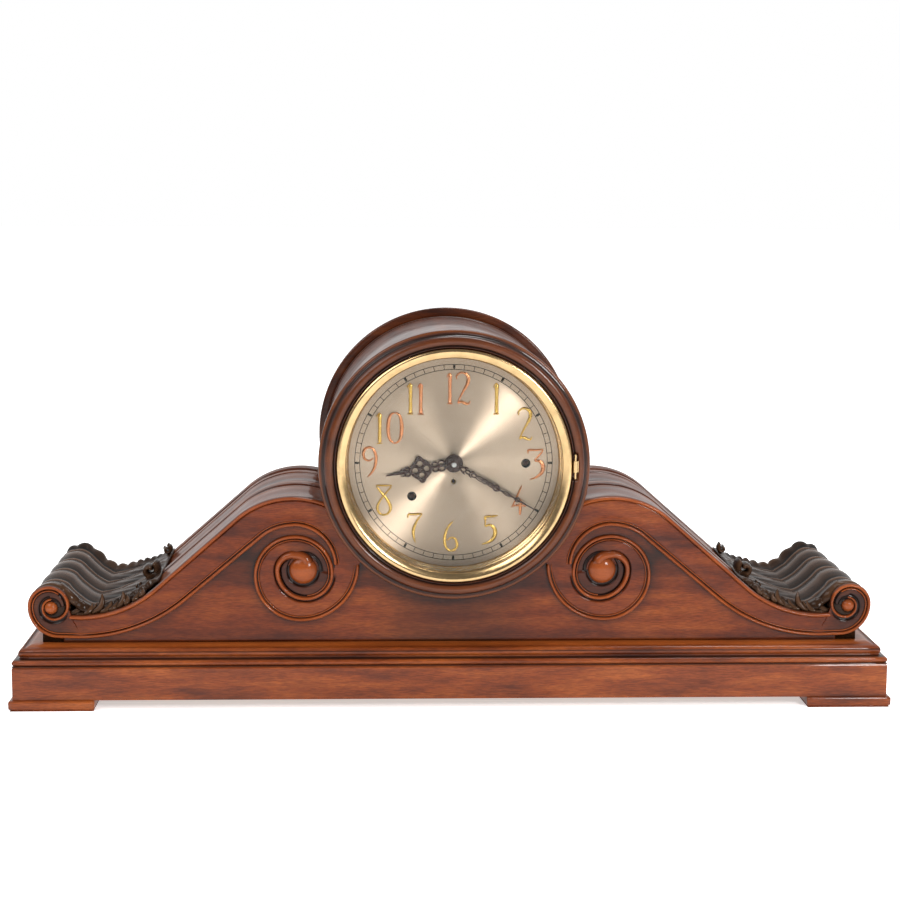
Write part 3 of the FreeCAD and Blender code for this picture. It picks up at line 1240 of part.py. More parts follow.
def main():
    """Build every sub-part and write it to parts/."""
    plinth_front, plinth_back, plinth_left, plinth_right = frame_sides(plinth_profile())
    shoulder = make_shoulder_right()
    carving = make_scroll_carving_right()
    roll = make_end_roll_right()
    leaf = make_acanthus_right()
    nodes = {
        "corner_feet": make_corner_feet(),
        "corner_blocks": make_corner_blocks(),
        "plinth_front": plinth_front,
        "plinth_back": plinth_back,
        "plinth_ends": group([plinth_left, plinth_right]),
        "base_floor": make_base_floor(),
        "base_moulding": group(frame_sides(moulding_profile())),
        "front_board": case_board(BODY_FRONT, BODY_FRONT + CASE_BOARD),
        "back_board": case_board(BODY_BACK - CASE_BOARD, BODY_BACK),
        "shoulder_right": shoulder,
        "shoulder_left": mirror(shoulder),
        "scroll_carvings": group([carving, mirror(carving)]),
        "end_roll_right": roll,
        "end_roll_left": mirror(roll),
        "acanthus_leaves": group([leaf, mirror(leaf)]),
        "drum_shell": make_drum_shell(),
        "drum_front_ring": make_drum_front_ring(),
        "drum_back_ring": make_drum_back_ring(),
        "dial_board": make_dial_board(),
        "dial_plate": make_dial_plate(),
        "dial_sight_ring": make_dial_sight_ring(),
        "dial_numerals": make_dial_numerals(),
        "bezel_ring": make_bezel_ring(),
        "bezel_glass": make_bezel_glass(),
        "bezel_retainer": make_bezel_retainer(),
        "bezel_hinge_leaf": make_bezel_hinge_leaf(),
        "back_door": make_back_door(),
        "door_knob": make_door_knob(),
        "door_hinge_leaf": make_door_hinge_leaf(),
        "door_hinge_fixed": make_door_hinge_fixed(),
        "movement_front_plate": make_movement_front_plate(),
        "movement_back_plate": make_movement_back_plate(),
        "plate_pillars": make_plate_pillars(),
        "plate_nuts": make_plate_nuts(),
        "time_barrel": make_time_barrel(),
        "time_winding_arbor": winding_arbor(TIME),
        "time_click": click(TIME),
        "strike_barrel": make_strike_barrel(),
        "strike_winding_arbor": winding_arbor(STRIKE),
        "strike_click": click(STRIKE),
        "centre_arbor": make_centre_arbor(),
        "centre_wheel": make_centre_wheel(),
        "third_wheel": make_third_wheel(),
        "escape_wheel": make_escape_wheel(),
        "pallets": make_pallets(),
        "suspension_cock": make_suspension_cock(),
        "pendulum_rod": make_pendulum_rod(),
        "pendulum_bob": make_pendulum_bob(),
        "minute_wheel": make_minute_wheel(),
        "hour_wheel": make_hour_wheel(),
        "minute_hand": make_minute_hand(),
        "hour_hand": make_hour_hand(),
        "hand_nut": make_hand_nut(),
        "pin_wheel": make_pin_wheel(),
        "fly": make_fly(),
        "strike_hammer": make_strike_hammer(),
        "gong_base": make_gong_base(),
        "gong_rods": make_gong_rods(),
        "regulator_arbor": make_regulator_arbor(),
    }
    os.makedirs("parts", exist_ok=True)
    for name, shape in nodes.items():
        shape.exportStep("parts/" + name + ".step")
    print(len(nodes), "sub-parts written")


if __name__ == "__main__":
    main()
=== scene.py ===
"""Looks of a carved tambour mantel clock: mahogany case, silvered dial, brass bezel and movement.

Lengths are millimetres in every class and function, and become metres in new_piece only.
X runs along the case, Y from the dial to the back, Z up, as in the frame.
"""
import json
import logging
import math
from dataclasses import dataclass, field
from enum import Enum

import bpy
import numpy as np
from mathutils import Matrix, Vector


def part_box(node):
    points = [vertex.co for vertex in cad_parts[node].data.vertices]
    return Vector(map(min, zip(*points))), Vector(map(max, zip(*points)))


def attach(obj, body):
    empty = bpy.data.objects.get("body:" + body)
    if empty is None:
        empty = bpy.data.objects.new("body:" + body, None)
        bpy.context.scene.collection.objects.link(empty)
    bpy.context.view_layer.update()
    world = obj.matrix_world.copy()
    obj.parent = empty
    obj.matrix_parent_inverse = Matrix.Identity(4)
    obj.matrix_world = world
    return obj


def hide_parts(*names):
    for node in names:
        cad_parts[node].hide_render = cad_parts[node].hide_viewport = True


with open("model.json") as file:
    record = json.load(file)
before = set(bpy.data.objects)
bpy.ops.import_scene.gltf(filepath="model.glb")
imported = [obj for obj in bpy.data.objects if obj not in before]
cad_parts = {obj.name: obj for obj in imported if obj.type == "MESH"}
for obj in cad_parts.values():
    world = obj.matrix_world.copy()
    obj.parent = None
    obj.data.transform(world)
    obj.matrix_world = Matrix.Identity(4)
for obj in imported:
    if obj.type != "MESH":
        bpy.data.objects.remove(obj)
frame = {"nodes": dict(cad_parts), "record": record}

log = logging.getLogger("mantel_clock")

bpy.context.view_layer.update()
MM = 0.001
DRUM_WALL = 8.0
FACET = 0.05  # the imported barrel's facets lie this far inside its true radius
ROLL_RADIUS = 18.0
FOOT_PLAN = (73.0, 45.0)

Array = np.ndarray
Material = bpy.types.Material
Socket = bpy.types.NodeSocket


# ---- Places taken from the frame -----------------------------------------------------------

def corners(node: str) -> tuple[Array, Array]:
    """Return a frame node's lowest and highest corners.

    Args:
        node: name of the node.

    Returns:
        Two arrays of three lengths in millimetres.
    """
    low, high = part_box(node)
    return np.array(low) / MM, np.array(high) / MM


@dataclass(frozen=True)
class Datum:
    """Axes, faces and radii that the visible pieces are built on."""

    axis_z: float
    drum_radius: float
    drum_bore: float
    ring_radius: float
    ring_front: float
    relief_front: float
    body_front: float
    body_back: float
    rear_face: float
    platform: float
    plinth_top: float
    foot_top: float
    half_plinth: tuple[float, float]
    half_foot: tuple[float, float]
    foot_length: float
    foot_depth: float
    roll_x: float
    roll_z: float
    roll_radius: float
    dial_front: float
    dial_radius: float
    bezel_radius: float
    sight_front: float

    @classmethod
    def read(cls) -> "Datum":
        """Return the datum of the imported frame."""
        drum_low, drum_high = corners("drum_shell")
        ring_low, ring_high = corners("drum_front_ring")
        rear_low, rear_high = corners("drum_back_ring")
        board_low, _ = corners("front_board")
        carve_low, carve_high = corners("scroll_carvings")
        plinth_low, plinth_high = corners("plinth_front")
        ends_low, ends_high = corners("plinth_ends")
        feet_low, feet_high = corners("corner_feet")
        roll_low, roll_high = corners("end_roll_right")
        dial_low, dial_high = corners("dial_plate")
        bezel_low, bezel_high = corners("bezel_ring")
        sight_low, _ = corners("dial_sight_ring")
        _, moulding_high = corners("base_moulding")
        drum_half = (drum_high[0] - drum_low[0]) / 2
        return cls(
            axis_z=(dial_low[2] + dial_high[2]) / 2,
            drum_radius=drum_half + FACET,
            drum_bore=drum_half - DRUM_WALL,
            ring_radius=(ring_high[0] - ring_low[0]) / 2,
            ring_front=ring_low[1],
            relief_front=carve_low[1],
            body_front=board_low[1],
            body_back=roll_high[1],
            rear_face=rear_high[1],
            platform=moulding_high[2],
            plinth_top=plinth_high[2],
            foot_top=feet_high[2],
            half_plinth=(plinth_high[0], ends_high[1]),
            half_foot=(feet_high[0], feet_high[1]),
            foot_length=FOOT_PLAN[0],
            foot_depth=FOOT_PLAN[1],
            roll_x=roll_high[0] - ROLL_RADIUS,
            roll_z=roll_high[2] - ROLL_RADIUS,
            roll_radius=ROLL_RADIUS,
            dial_front=dial_low[1],
            dial_radius=(dial_high[0] - dial_low[0]) / 2,
            bezel_radius=-bezel_low[0],
            sight_front=sight_low[1],
        )


# ---- Meshes worked out with numpy ------------------------------------------------------------

@dataclass
class Patch:
    """A stretch of surface: points, quads and at each point a dark value, for darker tone and painted
    shade, and a light value, for rubbing, tint and painted highlight.
    """

    points: Array
    quads: Array
    stain_and_shade: Array | None = None
    wear_tint_and_highlight: Array | None = None

    def filled(self, values: Array | None) -> Array:
        """Return the given values, or zeros where there are none."""
        return np.zeros(len(self.points)) if values is None else np.ravel(values)

    def mirrored(self) -> "Patch":
        """Return the same patch on the other side of the case, still facing outwards."""
        return Patch(self.points * [-1, 1, 1], self.quads[:, ::-1], self.stain_and_shade, self.wear_tint_and_highlight)


def join(patches: list[Patch]) -> Patch:
    """Return several patches as one.

    Args:
        patches: patches to put together, which may overlap.
    """
    starts = np.cumsum([0] + [len(patch.points) for patch in patches[:-1]])
    return Patch(
        np.concatenate([patch.points for patch in patches]),
        np.concatenate([patch.quads + start for patch, start in zip(patches, starts)]),
        np.concatenate([patch.filled(patch.stain_and_shade) for patch in patches]),
        np.concatenate([patch.filled(patch.wear_tint_and_highlight) for patch in patches]),
    )


def grid_quads(rows: int, columns: int, loop_rows: bool = False, loop_columns: bool = False) -> Array:
    """Return the quads of a grid of points stored row by row.

    Args:
        rows: number of rows.
        columns: number of points in a row.
        loop_rows: join the last row to the first.
        loop_columns: join each row's last point to its first.
    """
    numbers = np.arange(rows * columns).reshape(rows, columns)
    if loop_rows:
        numbers = np.vstack([numbers, numbers[:1]])
    if loop_columns:
        numbers = np.hstack([numbers, numbers[:, :1]])
    low, high = numbers[:-1], numbers[1:]
    return np.stack([low[:, :-1], low[:, 1:], high[:, 1:], high[:, :-1]], axis=-1).reshape(-1, 4)


def outward(patch: Patch) -> Patch:
    """Turn a closed patch so that it faces outwards: its signed volume becomes positive."""
    a, b, c, d = (patch.points[patch.quads[:, corner]] for corner in range(4))
    volume = np.einsum("ij,ij->", a, np.cross(b, c)) + np.einsum("ij,ij->", a, np.cross(c, d))
    if volume < 0:
        patch.quads = patch.quads[:, ::-1]
    return patch


def slab(front: Array, back: Array, stain_and_shade: Array | None = None, wear_tint_and_highlight: Array | None = None) -> Patch:
    """Return the closed solid between two grids of the same shape.

    The rims join the first and last rows and columns of both grids.

    Args:
        front: (rows, columns, 3) points of the visible face.
        back: (rows, columns, 3) points of the hidden face.
        stain_and_shade: (rows, columns) darkness of the visible face: darker tone and painted shade.
        wear_tint_and_highlight: (rows, columns) lightness of the visible face: rubbing and painted highlight.
    """
    rows, columns = front.shape[:2]
    count = rows * columns
    numbers = np.arange(count).reshape(rows, columns)
    rim = np.concatenate([numbers[0, :-1], numbers[:-1, -1], numbers[-1, :0:-1], numbers[:0:-1, 0]])
    following = np.roll(rim, -1)
    sides = np.stack([rim, rim + count, following + count, following], axis=-1)
    face = grid_quads(rows, columns)
    quads = np.concatenate([face, face[:, ::-1] + count, sides])
    points = np.concatenate([front.reshape(-1, 3), back.reshape(-1, 3)])
    zeros = np.zeros(count)
    stain_and_shade = zeros if stain_and_shade is None else np.ravel(stain_and_shade)
    wear_tint_and_highlight = zeros if wear_tint_and_highlight is None else np.ravel(wear_tint_and_highlight)
    return outward(Patch(points, quads, np.concatenate([stain_and_shade, stain_and_shade]), np.concatenate([wear_tint_and_highlight, zeros])))


def spread(flat: Array, y: Array) -> Array:
    """Return (rows, columns, 3) points from (x, z) places and a grid of depths."""
    x, z = (np.broadcast_to(flat[..., axis], y.shape) for axis in (0, 1))
    return np.stack([x, y, z], axis=-1)


def smooth_profile(knots: list[tuple[float, float]], steps: int = 6) -> Array:
    """Return a moulding line through knots, level at each one.

    Between two knots the second value follows 3t^2 - 2t^3, so that hollows and rounds are smooth.

    Args:
        knots: (place, height) pairs in order.
        steps: points between two knots.
    """
    knots = np.asarray(knots, float)
    share = np.linspace(0, 1, steps, endpoint=False)
    place = knots[:-1, :1] + np.diff(knots[:, 0])[:, None] * share
    height = knots[:-1, 1:] + np.diff(knots[:, 1])[:, None] * (3 * share ** 2 - 2 * share ** 3)
    line = np.column_stack([place.ravel(), height.ravel()])
    return np.vstack([line, knots[-1]])


def rounded(points: list[tuple[float, float]], steps: int = 5) -> Array:
    """Return a closed outline with every corner drawn as a smooth curve.

    Each point becomes a uniform quadratic B-spline control point, closed on itself.

    Args:
        points: (radius, y) or (x, z) corners in order.
        steps: points drawn for each corner.
    """
    points = np.asarray(points, float)
    before, after = np.roll(points, 1, axis=0), np.roll(points, -1, axis=0)
    t = np.linspace(0, 1, steps, endpoint=False)[None, :, None]
    start, middle, end = (before + points)[:, None] / 2, points[:, None], (points + after)[:, None] / 2
    return ((1 - t) ** 2 * start + 2 * t * (1 - t) * middle + t ** 2 * end).reshape(-1, 2)


def turned(outline: Array, axis_z: float, segments: int = 256, axis_x: float = 0.0) -> Patch:
    """Return a closed (radius, y) outline turned about an axis along Y.

    A point of the outline goes to (radius cos a, y, radius sin a) for every bearing a.

    Args:
        outline: closed outline, clear of the axis.
        axis_z: height of the axis.
        segments: bearings round the turn.
        axis_x: place of the axis along the case.
    """
    bearing = np.linspace(0, 2 * math.pi, segments, endpoint=False)[:, None]
    radius, y = outline[:, 0][None], outline[:, 1][None]
    x = axis_x + radius * np.cos(bearing)
    z = axis_z + radius * np.sin(bearing)
    points = np.stack([x, np.broadcast_to(y, x.shape), z], axis=-1).reshape(-1, 3)
    return outward(Patch(points, grid_quads(segments, len(outline), True, True)))


def frenet(path: Array) -> tuple[Array, Array]:
    """Return the unit tangents and left normals of a flat (x, z) path."""
    tangent = np.gradient(path, axis=0)
    tangent /= np.linalg.norm(tangent, axis=1)[:, None] + 1e-12
    return tangent, np.column_stack([-tangent[:, 1], tangent[:, 0]])


def strand(
    path: Array, half_width: Array | float, half_depth: Array | float, y: Array | float, ring: int = 14,
    stain_and_shade: float = 0.0, wear_tint_and_highlight: float = 0.0,
) -> Patch:
    """Return a closed rod of elliptical section along a flat path.

    A point is path + normal * half_width * cos a, at depth y - half_depth * sin a. Painted shade
    darkens the flanks, and the crown is lightened for rubbing and a painted highlight. Both ends close on a
    point.

    Args:
        path: (count, 2) line in x and z.
        half_width: half the section's width across the path.
        half_depth: half the section's depth along Y.
        y: depth of the section's middle.
        ring: points round the section.
        stain_and_shade: darkness of the flanks, painted shade.
        wear_tint_and_highlight: brightness of the crown, partly rubbing and partly painted highlight.
    """
    count = len(path)
    _, normal = frenet(path)
    wide = np.broadcast_to(np.asarray(half_width, float), (count,)).copy()
    deep = np.broadcast_to(np.asarray(half_depth, float), (count,)).copy()
    wide[[0, -1]] = deep[[0, -1]] = 0.02
    middle = np.broadcast_to(np.asarray(y, float), (count,))
    turn = np.linspace(0, 2 * math.pi, ring, endpoint=False)
    flat = path[:, None] + normal[:, None] * (wide[:, None] * np.cos(turn))[..., None]
    depth = middle[:, None] - deep[:, None] * np.sin(turn)
    points = np.stack([flat[..., 0], depth, flat[..., 1]], axis=-1).reshape(-1, 3)
    crown = np.broadcast_to(np.sin(turn), (count, ring))
    quads = grid_quads(count, ring, False, True)
    near = np.arange(ring // 2 - 1)
    start = np.stack([ring - 1 - near, ring - 2 - near, near + 1, near], axis=-1)
    end = start[:, ::-1] + (count - 1) * ring
    quads = np.concatenate([quads, start, end])
    # painted shade on the flanks, and a lighter crown for rubbing and painted highlight
    return outward(Patch(
        points, quads, stain_and_shade * (1 - np.clip(crown, 0, 1)) ** 1.5, wear_tint_and_highlight * np.clip(crown, 0, 1) ** 2,
    ))


def arc(centre: tuple[float, float], radius: float, start: float, end: float, step: float = 1.2) -> Array:
    """Return points along an arc in x and z.

    Args:
        centre: middle of the arc.
        radius: its radius.
        start: first bearing in degrees.
        end: last bearing in degrees.
        step: greatest gap between points.
    """
    count = max(3, int(abs(math.radians(end - start)) * radius / step) + 2)
    turn = np.radians(np.linspace(start, end, count))
    return np.column_stack([centre[0] + radius * np.cos(turn), centre[1] + radius * np.sin(turn)])


def resample(path: Array, count: int) -> Array:
    """Return a path with a given number of evenly spaced points."""
    gaps = np.linalg.norm(np.diff(path, axis=0), axis=1)
    along = np.concatenate([[0], np.cumsum(gaps)])
    wanted = np.linspace(0, along[-1], count)
    return np.column_stack([np.interp(wanted, along, path[:, axis]) for axis in (0, 1)])


def chain(paths: list[Array], step: float = 1.2) -> Array:
    """Return several paths end to end, evenly spaced."""
    whole = np.vstack([paths[0]] + [path[1:] for path in paths[1:]])
    gaps = np.linalg.norm(np.diff(whole, axis=0), axis=1)
    return resample(whole, int(gaps.sum() / step) + 2)


def distance_to(points: Array, path: Array) -> Array:
    """Return each (x, z) point's distance to the nearest point of a path."""
    nearest = np.full(len(points), np.inf)
    for start in range(0, len(points), 4000):
        block = points[start:start + 4000]
        gap = block[:, None] - path[None]
        nearest[start:start + 4000] = np.sqrt((gap ** 2).sum(-1).min(1))
    return nearest


def line_at(values: Array, place: float, width: float) -> Array:
    """Return exp(-((value - place) / width)^2): 1 on a line and 0 away from it."""
    return np.exp(-((values - place) / width) ** 2)


def new_piece(
    name: str, patch: Patch, body: str, material: Material, replaces: tuple[str, ...] = (),
) -> None:
    """Make one object of the clock from a patch, at the origin.

    Args:
        name: name of the piece.
        patch: its surface in millimetres.
        body: body of the frame that it rides on.
        material: finish.
        replaces: frame nodes that it stands for.
    """
    mesh = bpy.data.meshes.new(name)
    mesh.from_pydata((patch.points * MM).tolist(), [], patch.quads.tolist())
    # the dark value becomes darker tone and painted shade, the light value rubbing, tint and painted
    # highlight
    for label, values in (("stain_and_shade", patch.stain_and_shade), ("wear_tint_and_highlight", patch.wear_tint_and_highlight)):
        layer = mesh.attributes.new(label, "FLOAT", "POINT")
        layer.data.foreach_set("value", patch.filled(values).astype(np.float32))
    mesh.validate()
    mesh.update()
    mesh.polygons.foreach_set("use_smooth", np.ones(len(mesh.polygons), bool))
    piece = bpy.data.objects.new(name, mesh)
    bpy.context.scene.collection.objects.link(piece)
    mesh.materials.append(material)
    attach(piece, body)
    if replaces:
        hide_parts(*replaces)
    log.info("%s: %d faces on %s", name, len(mesh.polygons), body)


# ---- Finishes --------------------------------------------------------------------------------

def colour(code: str) -> tuple[float, float, float, float]:
    """Return an sRGB hex colour as linear values for a shader socket."""
    channels = [int(code[place:place + 2], 16) / 255 for place in (1, 3, 5)]
    linear = [c / 12.92 if c <= 0.04045 else ((c + 0.055) / 1.055) ** 2.4 for c in channels]
    return (*linear, 1.0)


@dataclass
class Graph:
    """A material's nodes, with one way to add one."""

    name: str
    material: Material = field(init=False)

    def __post_init__(self) -> None:
        """Start an empty node tree."""
        self.material = bpy.data.materials.new(self.name)
        self.material.use_nodes = True
        self.material.node_tree.nodes.clear()

    def add(self, kind: str, inputs: dict | None = None, **settings: object) -> bpy.types.Node:
        """Add a node.

        Args:
            kind: Blender's name for the node's type, without ShaderNode.
            inputs: socket name or number to a value, or to a socket to link from.
            settings: values of the node's own properties.

        Returns:
            The new node.
        """
        node = self.material.node_tree.nodes.new("ShaderNode" + kind)
        for key, value in settings.items():
            setattr(node, key, value)
        for key, value in (inputs or {}).items():
            if isinstance(value, Socket):
                self.material.node_tree.links.new(value, node.inputs[key])
            else:
                node.inputs[key].default_value = value
        return node

    def ramp(self, factor: Socket, stops: list[tuple[float, str]]) -> Socket:
        """Add a colour ramp.

        Args:
            factor: what the ramp reads.
            stops: places and hex colours, in order.

        Returns:
            The ramp's colour.
        """
        node = self.add("ValToRGB", {"Fac": factor})
        elements = node.color_ramp.elements
        while len(elements) < len(stops):
            elements.new(0.5)
        for element, (place, code) in zip(elements, stops):
            element.position = place
            element.color = colour(code)
        return node.outputs["Color"]

    def mix(
        self, factor: Socket | float, low: Socket | tuple, high: Socket | tuple, blend: str = "MIX",
    ) -> Socket:
        """Add a colour mix.

        Args:
            factor: how much of the second colour shows.
            low: first colour.
            high: second colour.
            blend: Blender's name for the way of mixing.

        Returns:
            The mixed colour.
        """
        node = self.add("Mix", data_type="RGBA", blend_type=blend)
        for socket, value in ((0, factor), (6, low), (7, high)):
            if isinstance(value, Socket):
                self.material.node_tree.links.new(value, node.inputs[socket])
            else:
                node.inputs[socket].default_value = value
        return node.outputs[2]

    def grain(
        self, cells: tuple[float, float, float], detail: float = 3.0, roughness: float = 0.55,
    ) -> Socket:
        """Add noise stretched to cells of the given size.

        Args:
            cells: size of one cell along X, Y and Z in millimetres.
            detail: octaves of noise.
            roughness: strength of the finer octaves.

        Returns:
            The noise's value.
        """
        place = self.add("TexCoord").outputs["Object"]
        scale = [1 / (size * MM) for size in cells]
        stretched = self.add("Mapping", {"Vector": place, "Scale": scale}).outputs["Vector"]
        noise = {"Vector": stretched, "Scale": 1.0, "Detail": detail, "Roughness": roughness}
        return self.add("TexNoise", noise).outputs["Fac"]

    def finish(self, inputs: dict) -> Material:
        """Add the shader and the output, and return the material."""
        shader = self.add("BsdfPrincipled", inputs)
        self.add("OutputMaterial", {"Surface": shader.outputs[0]})
        return self.material


PORE_DEPTH = 0.12 * MM
LACQUER_ROUGHNESS = 0.06
GRIME = "#1A120A"


@dataclass(frozen=True)
class Timber:
    """Stained hardwood under semi-gloss lacquer: long pores, painted shade in the recesses, and edges
    lightened partly by rubbing and partly as painted highlight.
    """

    name: str
    tones: tuple[str, str, str]
    # colours of the painted shade (with darker tone) and of the rubbed edges with painted highlight
    stain_and_shade: str
    wear_tint_and_highlight: str
    roughness: float = 0.36
    coat: float = 0.3
    gleam: float = 0.12
    pore_cell: tuple[float, float, float] = (7.0, 0.45, 0.45)
    figure_cell: tuple[float, float, float] = (90.0, 14.0, 14.0)

    def build(self) -> Material:
        """Return the material: figure and pores set the tone, then a light colour (rubbing and painted
        highlight) and a dark one (darker tone and painted shade) are laid over.
        """
        graph = Graph(self.name)
        figure = graph.grain(self.figure_cell, 4.0)
        tone = graph.ramp(figure, [(0.3, self.tones[0]), (0.5, self.tones[1]), (0.72, self.tones[2])])
        pores = graph.grain(self.pore_cell, 2.0)
        line = graph.add("MapRange", {0: pores, 1: 0.42, 2: 0.6, 3: 0.62, 4: 1.0}).outputs[0]
        tone = graph.mix(1.0, tone, line, "MULTIPLY")
        # painted light: the light colour marks rubbing and painted highlights, the dark one darker tone and
        # painted shade
        wear_tint_and_highlight = graph.add("Attribute", attribute_name="wear_tint_and_highlight").outputs["Fac"]
        stain_and_shade = graph.add("Attribute", attribute_name="stain_and_shade").outputs["Fac"]
        tone = graph.mix(wear_tint_and_highlight, tone, colour(self.wear_tint_and_highlight))
        tone = graph.mix(stain_and_shade, tone, colour(self.stain_and_shade))
        soft = graph.grain((25.0, 25.0, 25.0), 3.0)
        dull, shiny = self.roughness + 0.08, self.roughness - 0.05
        rough = graph.add("MapRange", {0: soft, 1: 0.3, 2: 0.7, 3: shiny, 4: dull})
        bump = graph.add("Bump", {"Height": line, "Strength": 0.25, "Distance": PORE_DEPTH})
        return graph.finish({
            "Base Color": tone, "Roughness": rough.outputs[0], "Normal": bump.outputs[0],
            "Coat Weight": self.coat, "Coat Roughness": LACQUER_ROUGHNESS, "Specular IOR Level": self.gleam,
        })


@dataclass(frozen=True)
class Metal:
    """Metal with slight tarnish in patches, and a second colour where wear is painted."""

    name: str
    tone: str
    tarnish: str
    worn: str
    roughness: float = 0.25
    spread: float = 0.5
    cell: float = 9.0
    metallic: float = 1.0

    def build(self) -> Material:
        """Return the material: tarnish follows broad noise and its roughness a fine one."""
        graph = Graph(self.name)
        patches = graph.grain((self.cell,) * 3, 4.0, 0.6)
        amount = graph.add("MapRange", {0: patches, 1: 0.45, 2: 0.75, 3: 0.0, 4: self.spread}).outputs[0]
        wear_tint_and_highlight = graph.add("Attribute", attribute_name="wear_tint_and_highlight").outputs["Fac"]
        stain_and_shade = graph.add("Attribute", attribute_name="stain_and_shade").outputs["Fac"]
        tone = graph.mix(wear_tint_and_highlight, colour(self.tone), colour(self.worn))
        tone = graph.mix(amount, tone, colour(self.tarnish))
        tone = graph.mix(stain_and_shade, tone, colour(GRIME))
        fine = graph.grain((1.2, 1.2, 1.2), 3.0)
        dull, shiny = self.roughness * 1.25, self.roughness * 0.85
        rough = graph.add("MapRange", {0: fine, 1: 0.3, 2: 0.7, 3: shiny, 4: dull})
        bump = graph.add("Bump", {"Height": fine, "Strength": 0.08, "Distance": 0.05 * MM})
        return graph.finish({
            "Base Color": tone, "Metallic": self.metallic, "Roughness": rough.outputs[0],
            "Normal": bump.outputs[0],
        })


RINGS_PER_METRE = 2600.0  # coarser than real brush lines, so that they show


@dataclass(frozen=True)
class BrushedDial:
    """Silvered brass plate brushed in circles, so that light fans out from the centre."""

    name: str
    centre: tuple[float, float, float]
    tone: str
    tarnish: str
    track: tuple[float, float] = (80.5, 84.8)
    line_half: float = 0.3
    ink: str = "#0C0A09"
    shadow: str = "#8F8677"

    def chapter(self, graph: Graph, arm: Socket, radius: Socket) -> Socket:
        """Return where the printed minute track is: two circles, 60 ticks and 12 bold ones.

        Args:
            graph: the dial's nodes.
            arm: place measured from the dial's centre, in metres.
            radius: length of arm.

        Returns:
            A value near 1 on the ink and 0 elsewhere.
        """
        def maths(
            operation: str, first: Socket | float, second: Socket | float = 0.0, third: float = 0.0,
        ) -> Socket:
            """Add a maths node and return its value."""
            return graph.add("Math", {0: first, 1: second, 2: third}, operation=operation).outputs[0]

        low, high = (length * MM for length in self.track)
        split = graph.add("SeparateXYZ", {0: arm})
        turn = maths("ARCTAN2", split.outputs["X"], split.outputs["Z"])
        circles = [maths("COMPARE", radius, length, self.line_half * MM) for length in (low, high)]
        ink = maths("MAXIMUM", *circles)
        minutes = (60, 0.28 * MM, low, high)
        hours = (12, 1.0 * MM, low + 0.8 * MM, high + 0.3 * MM)
        for count, half, inner, outer in (minutes, hours):
            cells = maths("MULTIPLY", turn, count / (2 * math.pi))
            off = maths("ABSOLUTE", maths("SUBTRACT", cells, maths("ROUND", cells)))
            sideways = maths("MULTIPLY", maths("MULTIPLY", off, 2 * math.pi / count), radius)
            wide = maths("LESS_THAN", sideways, half)
            band = maths("COMPARE", radius, (inner + outer) / 2, (outer - inner) / 2)
            ink = maths("MAXIMUM", ink, maths("MULTIPLY", wide, band))
        return maths("MULTIPLY", ink, 0.95)

    def build(self) -> Material:
        """Return the material: the tangent points away from the centre, and fine rings roughen it."""
        graph = Graph(self.name)
        place = graph.add("TexCoord").outputs["Object"]
        offset = [length * MM for length in self.centre]
        arm = graph.add("VectorMath", {0: place, 1: offset}, operation="SUBTRACT").outputs[0]
        tangent = graph.add("VectorMath", {0: arm}, operation="NORMALIZE").outputs[0]
        radius = graph.add("VectorMath", {0: arm}, operation="LENGTH").outputs["Value"]
        lines = {"W": radius, "Scale": RINGS_PER_METRE, "Detail": 3.0}
        rings = graph.add("TexNoise", lines, noise_dimensions="1D").outputs[0]
        cloud = graph.grain((22.0, 22.0, 22.0), 4.0, 0.6)
        spots = graph.add("MapRange", {0: cloud, 1: 0.42, 2: 0.78, 3: 0.05, 4: 0.55}).outputs[0]
        tone = graph.mix(spots, colour(self.tone), colour(self.tarnish))
        tone = graph.mix(rings, tone, colour(self.shadow), "MULTIPLY")
        tone = graph.mix(0.45, tone, colour(self.tone))
        ink = self.chapter(graph, arm, radius)
        tone = graph.mix(ink, tone, colour(self.ink))
        bump = graph.add("Bump", {"Height": rings, "Strength": 0.12, "Distance": 0.04 * MM})
        return graph.finish({
            "Base Color": tone, "Metallic": 1.0, "Roughness": 0.42, "Anisotropic": 1.0,
            "Tangent": tangent, "Normal": bump.outputs[0],
        })


@dataclass(frozen=True)
class Pane:
    """Clear flat glass with a faint reflection."""

    name: str

    def build(self) -> Material:
        """Return the material: mostly see-through, with a polished surface."""
        graph = Graph(self.name)
        haze = graph.grain((40.0, 40.0, 40.0), 2.0)
        rough = graph.add("MapRange", {0: haze, 1: 0.3, 2: 0.7, 3: 0.02, 4: 0.05}).outputs[0]
        return graph.finish({
            "Base Color": colour("#6E7674"), "Roughness": rough, "Alpha": 0.05, "Specular IOR Level": 0.5,
        })


# ---- The case --------------------------------------------------------------------------------

